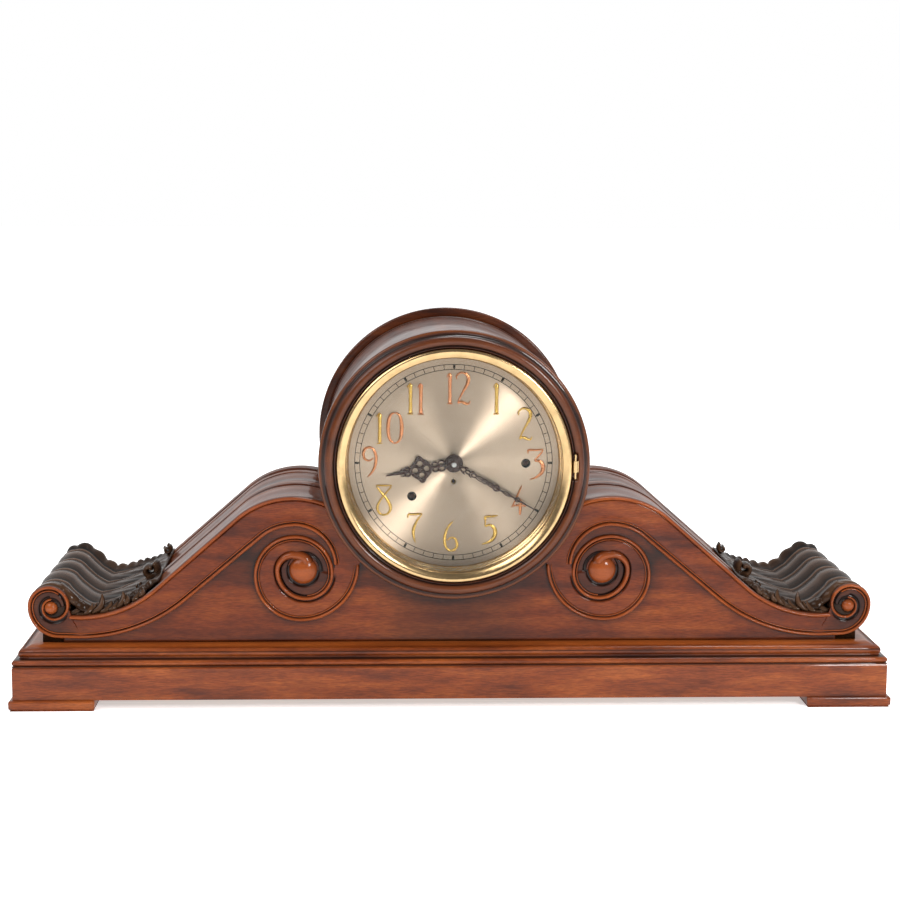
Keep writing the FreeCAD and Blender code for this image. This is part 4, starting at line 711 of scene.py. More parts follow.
@dataclass
class Case:
    """Plinth mouldings, feet, drum and its wooden rings."""

    datum: Datum
    drum_stain: float = 0.62
    groove: float = 86.0
    barrel_end: float = 97.5
    # heights above the plinth of the creases that get painted shade
    creases: tuple[float, ...] = (0.5, 6.3, 11.9)
    hinge_flat: float = 11.5

    def around(self, half: tuple[float, float], section: Array) -> Patch:
        """Return a moulding mitred round the case.

        Each (inset, z) point of the closed section becomes a rectangle whose sides lie that far
        inside the plinth's, with short corners.

        Args:
            half: half the outside length and half the outside depth.
            section: closed outline.
        """
        inset, z = section[:, 0], section[:, 1]
        corners_x = np.stack([half[0] - inset, -(half[0] - inset), -(half[0] - inset), half[0] - inset])
        corners_y = np.stack([half[1] - inset, half[1] - inset, -(half[1] - inset), -(half[1] - inset)])
        corners_z = np.broadcast_to(z, corners_x.shape)
        steps = np.linspace(0, 1, 60, endpoint=False)[None, :, None]
        grid = []
        for axis in (corners_x, corners_y, corners_z):
            following = np.roll(axis, -1, axis=0)
            grid.append((axis[:, None] * (1 - steps) + following[:, None] * steps).reshape(-1, len(section)))
        points = np.stack(grid, axis=-1).reshape(-1, 3)
        count = 4 * steps.size
        # painted shade in the hollows of the section, and on its edges a lighter colour, partly rubbing,
        # partly painted highlight
        hollow = np.clip(self.hollows(section), 0, 1)
        stain_and_shade = np.broadcast_to(hollow, (count, len(section))).ravel()
        wear_tint_and_highlight = np.broadcast_to(np.clip(-self.hollows(section), 0, 1) * 0.6, (count, len(section))).ravel()
        return outward(Patch(points, grid_quads(count, len(section), True, True), stain_and_shade, wear_tint_and_highlight))

    def hollows(self, section: Array) -> Array:
        """Return how hollow a closed outline is at each point: 1 in a groove and -1 on an edge."""
        mean = sum(np.roll(section, shift, axis=0) for shift in range(-4, 5)) / 9
        tangent = np.roll(section, -1, axis=0) - np.roll(section, 1, axis=0)
        normal = np.column_stack([-tangent[:, 1], tangent[:, 0]])
        normal /= np.linalg.norm(normal, axis=1)[:, None] + 1e-9
        area = np.sum(section[:, 0] * np.roll(section[:, 1], -1) - np.roll(section[:, 0], -1) * section[:, 1])
        side = ((mean - section) * normal).sum(1) * (1 if area < 0 else -1)
        return side / (np.abs(side).max() + 1e-9) * 1.4

    def moulding(self, wood: Material) -> None:
        """Build the moulding between the plinth and the body."""
        low, high = self.datum.plinth_top, self.datum.platform
        curve = smooth_profile([(0.0, low), (0.2, low + 0.6), (2.0, low + 1.0)], 3).tolist()
        curve += arc((2.6, low + 3.6), 2.5, 250, 90, 0.5).tolist()
        curve += [(3.6, low + 6.3), (5.4, low + 6.5)]
        curve += arc((9.4, low + 10.9), 4.4, 225, 108, 0.6)[::1].tolist()
        curve += [(9.0, low + 11.8), (9.4, low + 12.3)]
        curve += arc((10.9, low + 13.4), 1.5, 210, 80, 0.4).tolist()
        curve += [(11.8, low + 15.0), (13.0, high - 0.9), (15.0, high), (40.0, high), (40.0, low)]
        section = np.array(curve)
        patch = self.around(self.datum.half_plinth, section)
        rise = patch.points[:, 2] - low
        # painted shade along the creases of the moulding
        creases = sum(line_at(rise, level, 0.55) for level in self.creases)
        patch.stain_and_shade = np.clip(patch.stain_and_shade + 0.95 * creases, 0, 0.95)
        new_piece("base_moulding_turned", patch, "case", wood, ("base_moulding",))

    def feet(self, wood: Material) -> None:
        """Build four corner feet, each a block with a moulded edge."""
        half_x, half_y = self.datum.half_foot
        blocks = []
        for side_x in (-1, 1):
            for side_y in (-1, 1):
                blocks.append(self.foot(side_x * half_x, side_y * half_y, side_x, side_y))
        new_piece("feet_moulded", join(blocks), "case", wood, ("corner_feet",))

    def foot(self, x: float, y: float, side_x: int, side_y: int) -> Patch:
        """Return one foot.

        Its plan is a rounded rectangle that shrinks towards the floor along an ogee.

        Args:
            x: outer end.
            y: outer side.
            side_x: -1 on the left, 1 on the right.
            side_y: -1 at the front, 1 at the back.
        """
        datum = self.datum
        top = datum.foot_top
        low_edge = [(0.0, 0.8), (0.7, 1.6), (2.2, 0.2)]
        shape = smooth_profile(low_edge + [(top - 1.4, 0.0), (top - 0.5, 0.3), (top, 1.0)], 4)
        turn = np.linspace(0, 2 * math.pi, 96, endpoint=False)
        length, depth = datum.foot_length / 2, datum.foot_depth / 2
        square = np.maximum(np.abs(np.cos(turn)), np.abs(np.sin(turn)))
        plan_x, plan_y = np.cos(turn) / square, np.sin(turn) / square
        closed = max(length, depth) * 0.999
        levels = [(shape[0, 0], closed)] + shape.tolist() + [(shape[-1, 0], closed)]
        rows = []
        for z, inset in levels:
            wide, deep = max(length - inset, 0.01), max(depth - inset, 0.01)
            px = x - side_x * length + plan_x * wide
            py = y - side_y * depth + plan_y * deep
            rows.append(np.column_stack([px, py, np.full_like(px, z)]))
        points = np.array(rows).reshape(-1, 3)
        return outward(Patch(points, grid_quads(len(levels), len(turn), False, True)))

    def drum(self, wood: Material) -> None:
        """Turn the barrel of the drum with a bead near the back."""
        datum = self.datum
        radius, bore, front, end = datum.drum_radius, datum.drum_bore, datum.relief_front, self.barrel_end
        groove = [(84.0, radius), (self.groove, radius - 1.4), (88.0, radius + 0.6)]
        outline = np.array([
            (bore, front), (radius - 0.6, front), (radius, front + 0.8),
            *[(radius, y) for y in np.linspace(front + 6, 83, 12)],
            *smooth_profile(groove, 4)[:, ::-1],
            (radius + 0.6, end - 0.5), (radius - 0.5, end), (bore, end),
        ])
        patch = turned(outline, datum.axis_z)
        depth = patch.points[:, 1]
        # painted shade in the groove and at the barrel's end, over the drum's darker tone
        creases = line_at(depth, self.groove, 1.8) + line_at(depth, self.barrel_end - 0.5, 1.6)
        patch.stain_and_shade = self.drum_stain + 0.36 * creases
        new_piece("drum_barrel", patch, "case", wood, ("drum_shell",))

    def front_ring(self, wood: Material) -> None:
        """Turn the moulded ring round the bezel, with a flat for the bezel's hinge."""
        datum = self.datum
        front, radius = datum.ring_front, datum.ring_radius
        back = front + 19.5
        torus = arc((106.4, front + 4.4), 4.4, 200, 340, 0.6)
        outline = np.array(
            [(101.0, back), (101.0, front + 2.2)]
            + smooth_profile([(101.1, front + 1.6), (101.7, front + 1.4), (102.1, front + 2.6)], 3).tolist()
            + torus.tolist()
            + smooth_profile([(110.7, front + 4.0), (111.6, front + 5.2), (113.0, front + 5.6)], 3).tolist()
            + arc((113.6, front + 7.9), 2.1, 250, 370, 0.5).tolist()
            + [(radius, front + 10.5), (radius, front + 12.0), (radius - 1.0, front + 13.2)]
            + [(radius - 2.4, front + 15.0), (radius - 3.7, back - 1), (radius - 3.7, back)]
        )
        outline[:, 0] = np.minimum(outline[:, 0], radius)
        patch = turned(outline, datum.axis_z, 320)
        radial = np.hypot(patch.points[:, 0], patch.points[:, 2] - datum.axis_z)
        beside = np.abs(patch.points[:, 2] - datum.axis_z) < self.hinge_flat
        notch = beside & (patch.points[:, 0] > 0) & (radial < 105.4)
        patch.points[notch, 1] = np.maximum(patch.points[notch, 1], front + 6.4)
        depth = patch.points[:, 1] - front
        # painted shade in the quirks by the inner bead and the cove, a darker tone growing a little towards
        # the back, and a lighter torus and outer round, partly rubbing, partly painted highlight
        patch.stain_and_shade = np.clip(line_at(radial, 102.4, 0.7) + line_at(radial, 111.5, 0.9), 0, 1) * 0.9
        patch.stain_and_shade += 0.66 + np.clip((depth - 12) / 5, 0, 1) * 0.2
        patch.stain_and_shade = np.clip(patch.stain_and_shade, 0, 0.95)
        patch.wear_tint_and_highlight = line_at(radial, 106.4, 2.4) * 0.35 + line_at(radial, 114.6, 0.8) * 0.6
        new_piece("front_ring_turned", patch, "case", wood, ("drum_front_ring",))

    def back_ring(self, wood: Material) -> None:
        """Turn the wooden flange at the back of the drum."""
        datum = self.datum
        edge = datum.drum_radius + 8.4
        back = datum.rear_face
        outline = np.array(
            [(datum.drum_bore, 97.5), (datum.drum_radius + 3.0, 97.5)]
            + arc((edge - 2.0, 99.6), 2.0, 270, 380, 0.5).tolist()
            + [(edge - 0.6, 101.8), (edge - 1.6, 102.6)]
            + arc((edge - 3.2, back - 1.3), 1.3, 340, 450, 0.5).tolist()
            + [(datum.drum_bore + 6, back), (datum.drum_bore + 0.3, back), (datum.drum_bore, back - 0.4)]
        )
        outline[:, 0] = np.minimum(outline[:, 0], edge)
        outline[:, 1] = np.minimum(outline[:, 1], back)
        patch = turned(outline, datum.axis_z)
        patch.stain_and_shade = np.full(len(patch.points), self.drum_stain)
        new_piece("back_ring_turned", patch, "case", wood, ("drum_back_ring",))

    def build(self, wood: Material, deep: Material) -> None:
        """Build every case piece; deep is the wood whose grain runs front to back."""
        self.moulding(wood)
        self.feet(wood)
        self.drum(deep)
        self.front_ring(wood)
        self.back_ring(wood)


# ---- Scrolls -----------------------------------------------------------------------------------

@dataclass
class ScrollLines:
    """Lines of the right-hand scroll in x and z, as drawn on the front board."""

    datum: Datum
    upper: list[Array] = field(init=False)
    top: Array = field(init=False)
    lower: list[Array] = field(init=False)
    volute: list[Array] = field(init=False)
    end_volute: list[Array] = field(init=False)
    ball: tuple[float, float] = (129.3, 117.5)
    ball_radius: float = 12.6
    eye_radius: float = 5.6

    def __post_init__(self) -> None:
        """Draw each line from arcs and straight runs."""
        crown = arc((137.5, 106.0), 76.0, 113, 48.7)
        hollow = arc((321.0, 174.6), 96.6, 228.7, 270)
        self.upper = [crown, np.array([crown[-1], hollow[0]]), hollow, np.array([hollow[-1], (331.0, 78.4)])]
        self.top = chain(self.upper)
        first = arc((137.5, 121.6), 36.0, 180, 90)
        second = arc((137.5, 113.3), 44.0, 90, 50)
        bend = arc((321.0, 199.3), 139.8, 230, 270)
        run, end = np.array([second[-1], bend[0]]), np.array([bend[-1], (338.4, 60.0)])
        self.lower = [first, second, run, bend, end]
        self.volute = [
            arc((131.5, 123.1), 49.2, 180, 270), arc((131.5, 112.8), 38.9, 270, 360),
            arc((136.4, 112.8), 34.0, 0, 90), arc((136.4, 114.9), 31.9, 90, 180),
            arc((126.8, 114.9), 22.3, 180, 270), arc((126.8, 117.4), 24.8, 270, 360),
            arc((138.0, 117.4), 13.6, 0, 90),
        ]
        self.end_volute = [
            arc((338.4, 86.0), 26.0, 270, 360), arc((347.6, 86.0), 16.8, 0, 90),
            arc((347.6, 86.8), 16.0, 90, 180), arc((343.6, 86.8), 12.0, 180, 270),
            arc((343.6, 84.3), 9.5, 270, 360), arc((345.1, 84.3), 8.0, 0, 90),
        ]

    def eye(self) -> tuple[float, float]:
        """Return the middle of the end volute's eye."""
        return self.datum.roll_x, self.datum.roll_z

    def below(self, line: Array, gap: float) -> Array:
        """Return a line moved sideways, down where the line runs right."""
        _, normal = frenet(line)
        return line - normal * gap


@dataclass
class Carving:
    """Carved face of both scrolls: sunk ground with painted shade, raised ribbon, round beads and balls."""

    lines: ScrollLines
    ribbon_rise: float = 2.4
    dish: float = 0.7
    bead_half: float = 1.75
    bead_rise: float = 4.0
    across: int = 30
    spacing: float = 1.3
    leap: float = 4.0
    root: float = 0.5
    # painted shade on the ribbon near the end eye and in the large volute
    end_shade: float = 0.62
    volute_shade: float = 0.55

    def pairs(self) -> list[tuple[Array, Array]]:
        """Return the matching stretches of the ribbon's two edges, from the end eye inwards."""
        lines = self.lines
        v, e, low = lines.volute, lines.end_volute, lines.lower
        eye, ball = lines.eye(), lines.ball
        upper_crown = lines.upper[0]
        joined = chain([lines.upper[2], lines.upper[3]])
        return [
            (e[2][::-1], arc(eye, lines.eye_radius, 180, 90)),
            (e[1][::-1], e[5][::-1]),
            (e[0][::-1], e[4][::-1]),
            (low[4][::-1], e[3][::-1]),
            (low[3][::-1], joined[::-1]),
            (low[2][::-1], lines.upper[1][::-1]),
            (low[1][::-1], upper_crown[len(upper_crown) // 2:][::-1]),
            (low[0][::-1][:len(low[0]) // 2], upper_crown[:len(upper_crown) // 2 + 1][::-1]),
            (low[0][::-1][len(low[0]) // 2 - 1:], arc((0.0, lines.datum.axis_z), 113.0, -18, -47.0)),
            (v[4], v[0]),
            (v[5], v[1]),
            (v[6], v[2]),
            (arc(ball, 13.5, 62, 180), v[3]),
            (arc(ball, 11.0, 180, 270), v[4]),
            (arc(ball, 11.0, 270, 360), v[5]),
            (arc(ball, 11.0, 0, 60), v[6]),
        ]

    def ribbon(self) -> Patch:
        """Return the raised ribbon as one strip between its two edges.

        Across the strip its height is rise + dish (2t - 1)^2, less a quirk beside each edge. Painted
        shade fills the quirks and deepens towards the volutes and the end eye.
        """
        datum = self.lines.datum
        inner, outer, deep = [], [], []
        for number, (a, b) in enumerate(self.pairs()):
            longest = max(np.linalg.norm(np.diff(edge, axis=0), axis=1).sum() for edge in (a, b))
            count = max(6, int(longest / self.spacing))
            first = 1 if number else 0
            inner.append(resample(a, count)[first:])
            outer.append(resample(b, count)[first:])
            shade = self.end_shade if number < 4 else self.volute_shade if number > 11 else 0.0
            deep.append(np.full(count - first, shade))
        inner, outer, deep = np.vstack(inner), np.vstack(outer), np.concatenate(deep)
        deep = np.convolve(np.pad(deep, 12, mode="edge"), np.ones(25) / 25, mode="valid")
        t = (1 - np.cos(np.linspace(0, math.pi, self.across))) / 2
        flat = inner[:, None] * (1 - t[None, :, None]) + outer[:, None] * t[None, :, None]
        width = np.linalg.norm(outer - inner, axis=1)[:, None]
        edge = np.minimum(t, 1 - t)[None] * width
        leaps = np.flatnonzero(np.linalg.norm(np.diff(outer, axis=0), axis=1) > self.leap)
        apart = np.abs(np.arange(len(outer))[:, None] - leaps - 0.5).min(axis=1)
        calm = np.clip(apart / 6 - 0.2, 0, 1)[:, None]
        quirk = calm * (np.exp(-((edge - 2.3) / 0.9) ** 2) + np.exp(-((edge - 0.6) / 1.2) ** 2))
        hollow = calm * self.dish * (2 * t[None] - 1) ** 2
        rise = np.clip(width / 14, 0.3, 1.0) * (self.ribbon_rise + hollow) - 1.5 * quirk
        y = datum.body_front - np.clip(rise, 0.15, None)
        front = spread(flat, y)
        back = front.copy()
        back[..., 1] = datum.body_front + self.root
        # painted shade in the quirks, near the edges and towards the volutes
        stain_and_shade = calm * (np.exp(-((edge - 2.1) / 1.3) ** 2) + 0.2 * np.exp(-edge / 5)) + deep[:, None]
        stain_and_shade = np.clip(stain_and_shade, 0, 0.96)
        return slab(front, back, stain_and_shade, np.zeros_like(stain_and_shade))

    def ground(self) -> Patch:
        """Return the sunk ground between scroll, drum and moulding, with painted shade beside the beads,
        round the drum, in one corner of the scroll, along its foot and in the middle under the drum.
        """
        lines, datum = self.lines, self.lines.datum
        x = np.linspace(-336.0, 336.0, 561)
        span = np.abs(x)
        order = np.argsort(lines.top[:, 0])
        scroll = np.interp(span, lines.top[order, 0], lines.top[order, 1]) - 1.5
        ring = datum.axis_z - np.sqrt(np.clip(111.0 ** 2 - span ** 2, 0, None))
        top = np.where(span < 109.0, np.minimum(ring, scroll), scroll)
        t = np.linspace(0, 1, 76)[:, None]
        z = datum.platform + t * (top - datum.platform)[None]
        wide = np.broadcast_to(x, z.shape)
        front = np.stack([wide, np.full_like(z, datum.body_front - 0.35), z], axis=-1)
        back = front.copy()
        back[..., 1] = datum.body_front + 0.2
        flat = np.column_stack([np.abs(wide).ravel(), z.ravel()])
        beads = np.vstack([chain(lines.lower), chain(lines.volute[:4])])
        near = distance_to(flat, beads[::2]).reshape(z.shape)
        drum = np.abs(np.hypot(flat[:, 0], flat[:, 1] - datum.axis_z) - 114.0).reshape(z.shape)
        corner = np.exp(-np.hypot(flat[:, 0] - 176.0, flat[:, 1] - 128.0) / 16).reshape(z.shape)
        floor = np.exp(-(z - datum.platform) / 2.2)
        middle = np.exp(-(np.abs(wide) / 62.0) ** 4)
        # painted shade beside the beads, round the drum, in a corner of the scroll, along the foot and in the
        # middle under the drum
        stain_and_shade = 0.8 * np.exp(-near / 4.0) + 0.75 * np.exp(-drum / 9.0) + 0.75 * corner
        stain_and_shade = stain_and_shade + 0.6 * floor + 0.4 * middle
        return slab(front, back, np.clip(stain_and_shade, 0, 0.93))

    def beads(self) -> Patch:
        """Return the round beads that edge the scroll."""
        lines, y = self.lines, self.lines.datum.body_front
        rise, half = self.bead_rise, self.bead_half
        upper = lines.below(lines.top, 1.7)
        # each bead has painted shade on its flanks and a lighter crown, partly rubbing, partly painted
        # highlight
        parts = [strand(upper, 1.9, rise + 0.8, y, 16, 0.9, 0.38)]
        long_line = chain(lines.lower + lines.end_volute)
        share = np.linspace(0, 1, len(long_line))
        taper = np.where(share > 0.8, 1 - (share - 0.8) * 1.9, 1.0)
        parts.append(strand(long_line, half * taper, rise * taper, y, 16, 0.95, 0.38))
        _, normal = frenet(long_line)
        parts.append(strand((long_line + normal * 2.9)[share < 0.86], 0.75, 3.3, y, 12, 0.9, 0.45))
        outer = chain(lines.volute[:5])
        _, normal = frenet(outer)
        parts.append(strand(outer + normal * 2.8, 0.7, 3.2, y, 12, 0.9, 0.4))
        turn = np.radians(np.linspace(57, 128, 40))
        reach = np.linspace(15.4, 6.5, 40)
        tail = np.column_stack([lines.ball[0] + reach * np.cos(turn), lines.ball[1] + reach * np.sin(turn)])
        comma = chain([chain(lines.volute), tail])
        share = np.linspace(0, 1, len(comma))
        swell = half * np.interp(share, [0, 0.76, 0.9, 0.96, 1], [1.0, 1.0, 1.35, 2.3, 3.2])
        lift = rise * np.interp(share, [0, 0.9, 1], [1.0, 1.1, 1.5])
        parts.append(strand(comma, swell, lift, y, 16, 0.9, 0.38))
        return join(parts)

    def balls(self) -> Patch:
        """Return the ball in the large volute and the eye of the end volute."""
        lines, y = self.lines, self.lines.datum.body_front
        ball = self.dome(lines.ball, lines.ball_radius - 0.4, 6.6, y)
        eye = self.dome(lines.eye(), lines.eye_radius, 5.0, y)
        return join([ball, eye])

    def dome(self, centre: tuple[float, float], radius: float, rise: float, y: float) -> Patch:
        """Return half an ellipsoid standing out of the board.

        Args:
            centre: its middle in x and z.
            radius: its radius on the board.
            rise: how far it stands out.
            y: depth of the board.
        """
        tilt = np.linspace(0.02, math.pi / 2 + 0.25, 18)[:, None]
        turn = np.linspace(0, 2 * math.pi, 64, endpoint=False)[None]
        x = centre[0] + radius * np.sin(tilt) * np.cos(turn)
        z = centre[1] + radius * np.sin(tilt) * np.sin(turn)
        depth = np.broadcast_to(y - rise * np.cos(tilt), x.shape)
        points = np.stack([x, depth, z], axis=-1).reshape(-1, 3)
        # painted highlight on the front of the dome, fading into painted shade round its base
        wear_tint_and_highlight = np.broadcast_to(0.45 * np.cos(np.minimum(tilt, math.pi / 2)) ** 0.7, x.shape).ravel()
        patch = Patch(points, grid_quads(18, 64, False, True), 0.7 * (1 - wear_tint_and_highlight / 0.45) ** 3, wear_tint_and_highlight)
        return self.capped(patch, 18, 64)

    def capped(self, patch: Patch, rows: int, ring: int) -> Patch:
        """Close the first and last rows of a tube with quads across them."""
        near = np.arange(ring // 2 - 1)
        start = np.stack([ring - 1 - near, ring - 2 - near, near + 1, near], axis=-1)
        end = start[:, ::-1] + (rows - 1) * ring
        patch.quads = np.concatenate([patch.quads, start, end])
        return outward(patch)

    def build(self, wood: Material) -> None:
        """Build the carving on both sides."""
        new_piece("scroll_ground", self.ground(), "case", wood)
        for name, patch in (("ribbon", self.ribbon()), ("beads", self.beads()), ("balls", self.balls())):
            both = join([patch, patch.mirrored()])
            stands_for = ("scroll_carvings",) if name == "ribbon" else ()
            new_piece("scroll_" + name, both, "case", wood, stands_for)


@dataclass
class Shoulders:
    """Moulded tops of the two shoulders, swept from the drum down to the end scrolls."""

    lines: ScrollLines
    wall: float = 7.0
    # depths of the grooves that get painted shade and of the rounds that get painted highlight
    grooves: tuple[float, ...] = (11.0, 70.0, 93.0, 119.0, 145.5, 163.5)
    rounds: tuple[float, ...] = (3.5, 63.0, 80.5, 154.0, 175.5)

    def profile(self) -> Array:
        """Return the moulding from front to back as (y, sink below the scroll's top line) points."""
        front = self.lines.datum.body_front
        knots = [
            (0.0, 0.5), (3.5, 0.0), (8.5, 0.9), (10.5, 2.6), (13.5, 2.2), (35.5, 3.2), (59.5, 1.8),
            (65.5, 1.2), (68.5, 3.4), (71.5, 3.4), (74.0, 0.6), (80.5, 0.0), (87.5, 0.6), (90.5, 3.6),
            (95.5, 3.8), (103.5, 2.6), (118.5, 3.8), (135.5, 2.2), (140.5, 1.6), (143.5, 3.6),
            (147.5, 3.4), (150.0, 1.6), (154.5, 1.2), (158.5, 1.8), (161.5, 3.8), (165.5, 3.6),
            (168.5, 0.8), (175.5, 0.0), (182.0, 0.8), (185.0, 2.0),
        ]
        line = smooth_profile(knots, 6)
        line[:, 0] += front
        return line

    def build(self, wood: Material) -> None:
        """Build both shoulders."""
        line = self.profile()
        path = self.lines.top[self.lines.top[:, 0] < 322]
        _, normal = frenet(path)
        rows = path[:, None] - normal[:, None] * line[None, :, 1:2]
        y = np.broadcast_to(line[None, :, 0], rows.shape[:2])
        front = spread(rows, y)
        back = spread((path - normal * self.wall)[:, None], y)
        across = y - self.lines.datum.body_front
        # painted shade in the grooves over a darker tone, and a lighter colour on the rounds, partly rubbing,
        # partly painted highlight
        stain_and_shade = 0.5 + 0.46 * sum(line_at(across, place, 2.2) for place in self.grooves)
        wear_tint_and_highlight = 0.5 * sum(line_at(across, place, 2.6) for place in self.rounds)
        patch = slab(front, back, np.clip(stain_and_shade, 0, 0.96), wear_tint_and_highlight)
        new_piece("shoulder_moulded_right", patch, "case", wood, ("shoulder_right",))
        new_piece("shoulder_moulded_left", patch.mirrored(), "case", wood, ("shoulder_left",))


@dataclass
class EndScrolls:
    """Rolled ends with flutes, and the acanthus leaf that runs from them onto the shoulder."""

    lines: ScrollLines
    ribs: int = 4
    rib_rise: float = 4.0
    ridge_rise: float = 2.4
    root: float = 1.8

    def line(self) -> Array:
        """Return the leaf's line from the outer side of the roll, over it and up the shoulder."""
        datum = self.lines.datum
        roll = arc((datum.roll_x, datum.roll_z), datum.roll_radius - 2.6, -70, 128)
        rise = self.lines.top[self.lines.top[:, 0] < 312][::-1]
        rise = rise[rise[:, 0] > 258]
        rise = rise + [0.0, 1.2]
        start, end = roll[-1], rise[0]
        t = np.linspace(0, 1, 14)[1:-1, None]
        lean = np.array([-0.62, -0.78]) * 24
        settle = np.array([-1.0, 0.03]) * 16
        bridge = (2 * t ** 3 - 3 * t ** 2 + 1) * start + (t ** 3 - 2 * t ** 2 + t) * lean
        bridge = bridge + (3 * t ** 2 - 2 * t ** 3) * end + (t ** 3 - t ** 2) * settle
        return chain([roll, np.vstack([roll[-1:], bridge, rise[:1]]), rise], 1.0)

    def leaf(self) -> Patch:
        """Return the fluted leaf.

        Its height above the line is the sum of rounded ribs w^0.8, where w = |sin(pi (ribs v^p + drift))|
        across the depth v, of a thin ridge exp(-(w / 0.2)^2) between ribs, and of notches that serrate
        its two edges. The ribs drift towards the middle as they climb the shoulder.
        """
        datum = self.lines.datum
        path = self.line()
        _, normal = frenet(path)
        count = len(path)
        s = np.linspace(0, 1, count)[:, None]
        v = np.linspace(0, 1, 150)[None]
        tip = np.clip((s - 0.80) / 0.2, 0, 1)
        front_edge = datum.body_front + 1.6 + 30 * np.clip((s - 0.52) / 0.48, 0, 1) ** 1.3
        back_edge = datum.body_back - 0.6 - 6 * tip
        saw = np.abs(np.sin(math.pi * (15 * s + 0.9 * np.sin(7 * s)))) ** 0.8
        front_edge = front_edge + 2.2 * (1 - saw) * (s > 0.34)
        back_edge = back_edge - 3.0 * (1 - saw) * (s > 0.2)
        y = front_edge + v * (back_edge - front_edge)
        drift = 0.10 * np.sin(s * math.pi) + 0.12 * s
        wave = np.abs(np.sin(math.pi * self.ribs * (v ** (1 + 0.25 * s) + drift)))
        ridge = line_at(wave, 0.0, 0.2)
        ribs = wave ** 0.8
        strength = np.interp(s, [0, 0.1, 0.45, 0.75, 1], [0.3, 1, 1.15, 1.0, 0.5])
        rim = np.clip(np.minimum(v, 1 - v) / 0.02, 0, 1) ** 0.5
        crest = 2.6 * line_at(v, 0.96, 0.04) * saw * np.interp(s, [0, 0.25, 0.6, 1], [0, 1, 1, 0.6])
        fray = 1.5 * line_at(v, 0.05, 0.05) * saw * (s > 0.34)
        veins = 0.22 * np.sin(2 * math.pi * (v * 16 + s * 5)) * np.clip((s - 0.55) / 0.2, 0, 1)
        bands = (self.rib_rise * ribs + self.ridge_rise * ridge) * strength
        rise = (bands + 0.6 + crest + fray + veins) * rim
        rise = rise * np.interp(s, [0, 0.02, 0.97, 1], [0.3, 1, 1, 0.2])
        lobes = 0.5 + 0.5 * np.cos(2 * math.pi * 3.5 * (v - 0.03))
        rise = rise * (1 - tip * (1 - lobes) * 0.95)
        side = self.side(path, normal)
        front = spread(path[:, None] + normal[:, None] * rise[..., None] * side, y)
        back = spread((path - normal * self.root * side)[:, None], y)
        # painted shade in the flutes, and along the ridges a lighter colour, partly rubbing, partly painted
        # highlight
        groove = line_at(wave, 0.38, 0.16)
        fade = np.interp(s, [0, 0.2, 0.6, 1], [0.3, 1.0, 0.6, 0.3])
        wear_tint_and_highlight = (0.55 * ridge + 0.3 * np.clip(ribs - 0.9, 0, 0.1) * 10) * fade
        return slab(front, back, np.clip(groove, 0, 0.95), np.clip(wear_tint_and_highlight, 0, 0.6))

    def side(self, path: Array, normal: Array) -> float:
        """Return 1 where the normals point away from the roll's axis, and -1 otherwise."""
        datum = self.lines.datum
        away = path[10] - np.array([datum.roll_x, datum.roll_z])
        return float(np.sign(away @ normal[10]))

    def core(self) -> Patch:
        """Return the turned core of the roll, with a ringed eye at the back."""
        datum = self.lines.datum
        front, back = datum.body_front - 0.2, datum.body_back
        outline = [
            (0.05, front), (datum.roll_radius - 2.2, front), (datum.roll_radius - 2.0, front + 2),
            (datum.roll_radius - 2.0, back - 3), (datum.roll_radius - 3.0, back - 0.6), (11.5, back - 0.5),
            (10.5, back - 2.6), (7.0, back - 2.8), (6.0, back - 1.2), (3.5, back - 0.3), (0.05, back),
        ]
        return turned(np.array(outline), datum.roll_z, 96, datum.roll_x)

    def block(self) -> Patch:
        """Return the plain block between the roll and the moulding."""
        datum = self.lines.datum
        low, high = corners("end_roll_right")
        plan = rounded([(low[0] - 3, datum.body_front + 1), (high[0] - 10.5, datum.body_front + 1),
                        (high[0] - 9.5, datum.body_front + 2), (high[0] - 9.5, datum.body_back - 2),
                        (high[0] - 10.5, datum.body_back - 1), (low[0] - 3, datum.body_back - 1)], 3)
        middle = plan.mean(axis=0)
        rows = [(0.01, datum.platform), (1.0, datum.platform), (1.0, 66.0), (0.96, 74.0), (0.01, 74.0)]
        rings = [
            np.column_stack([middle + (plan - middle) * share, np.full(len(plan), z)]) for share, z in rows
        ]
        return outward(Patch(np.vstack(rings), grid_quads(len(rows), len(plan), False, True)))

    def curls(self) -> Patch:
        """Return the curled tips where the leaf meets the moulded shoulder."""
        parts = []
        order = np.argsort(self.lines.top[:, 0])
        for x, y, radius, lift, turns in (
            (266.5, -4.0, 7.6, 6.4, 1.1), (258.5, 66.0, 4.2, 4.8, 0.9), (262.0, 86.0, 3.6, 5.6, 0.8),
            (274.0, -34.0, 3.0, 2.4, 0.8), (270.0, 34.0, 3.6, 3.2, 0.9), (281.0, -58.0, 2.6, 2.0, 0.7),
        ):
            z = float(np.interp(x, self.lines.top[order, 0], self.lines.top[order, 1])) + lift
            turn = np.linspace(-0.6, turns * 2 * math.pi - 0.6, 60)
            reach = np.linspace(radius, radius * 0.18, 60)
            path = np.column_stack([x + 4 + reach * np.cos(turn + 2.6), z + reach * np.sin(turn + 2.6)])
            # painted shade on the flanks and a lighter crown, partly rubbing, partly painted highlight
            body = strand(path, np.linspace(0.45, 0.34, 60) * radius, radius * 1.35, y, 14, 0.55, 0.35)
            parts.append(body)
        return join(parts)

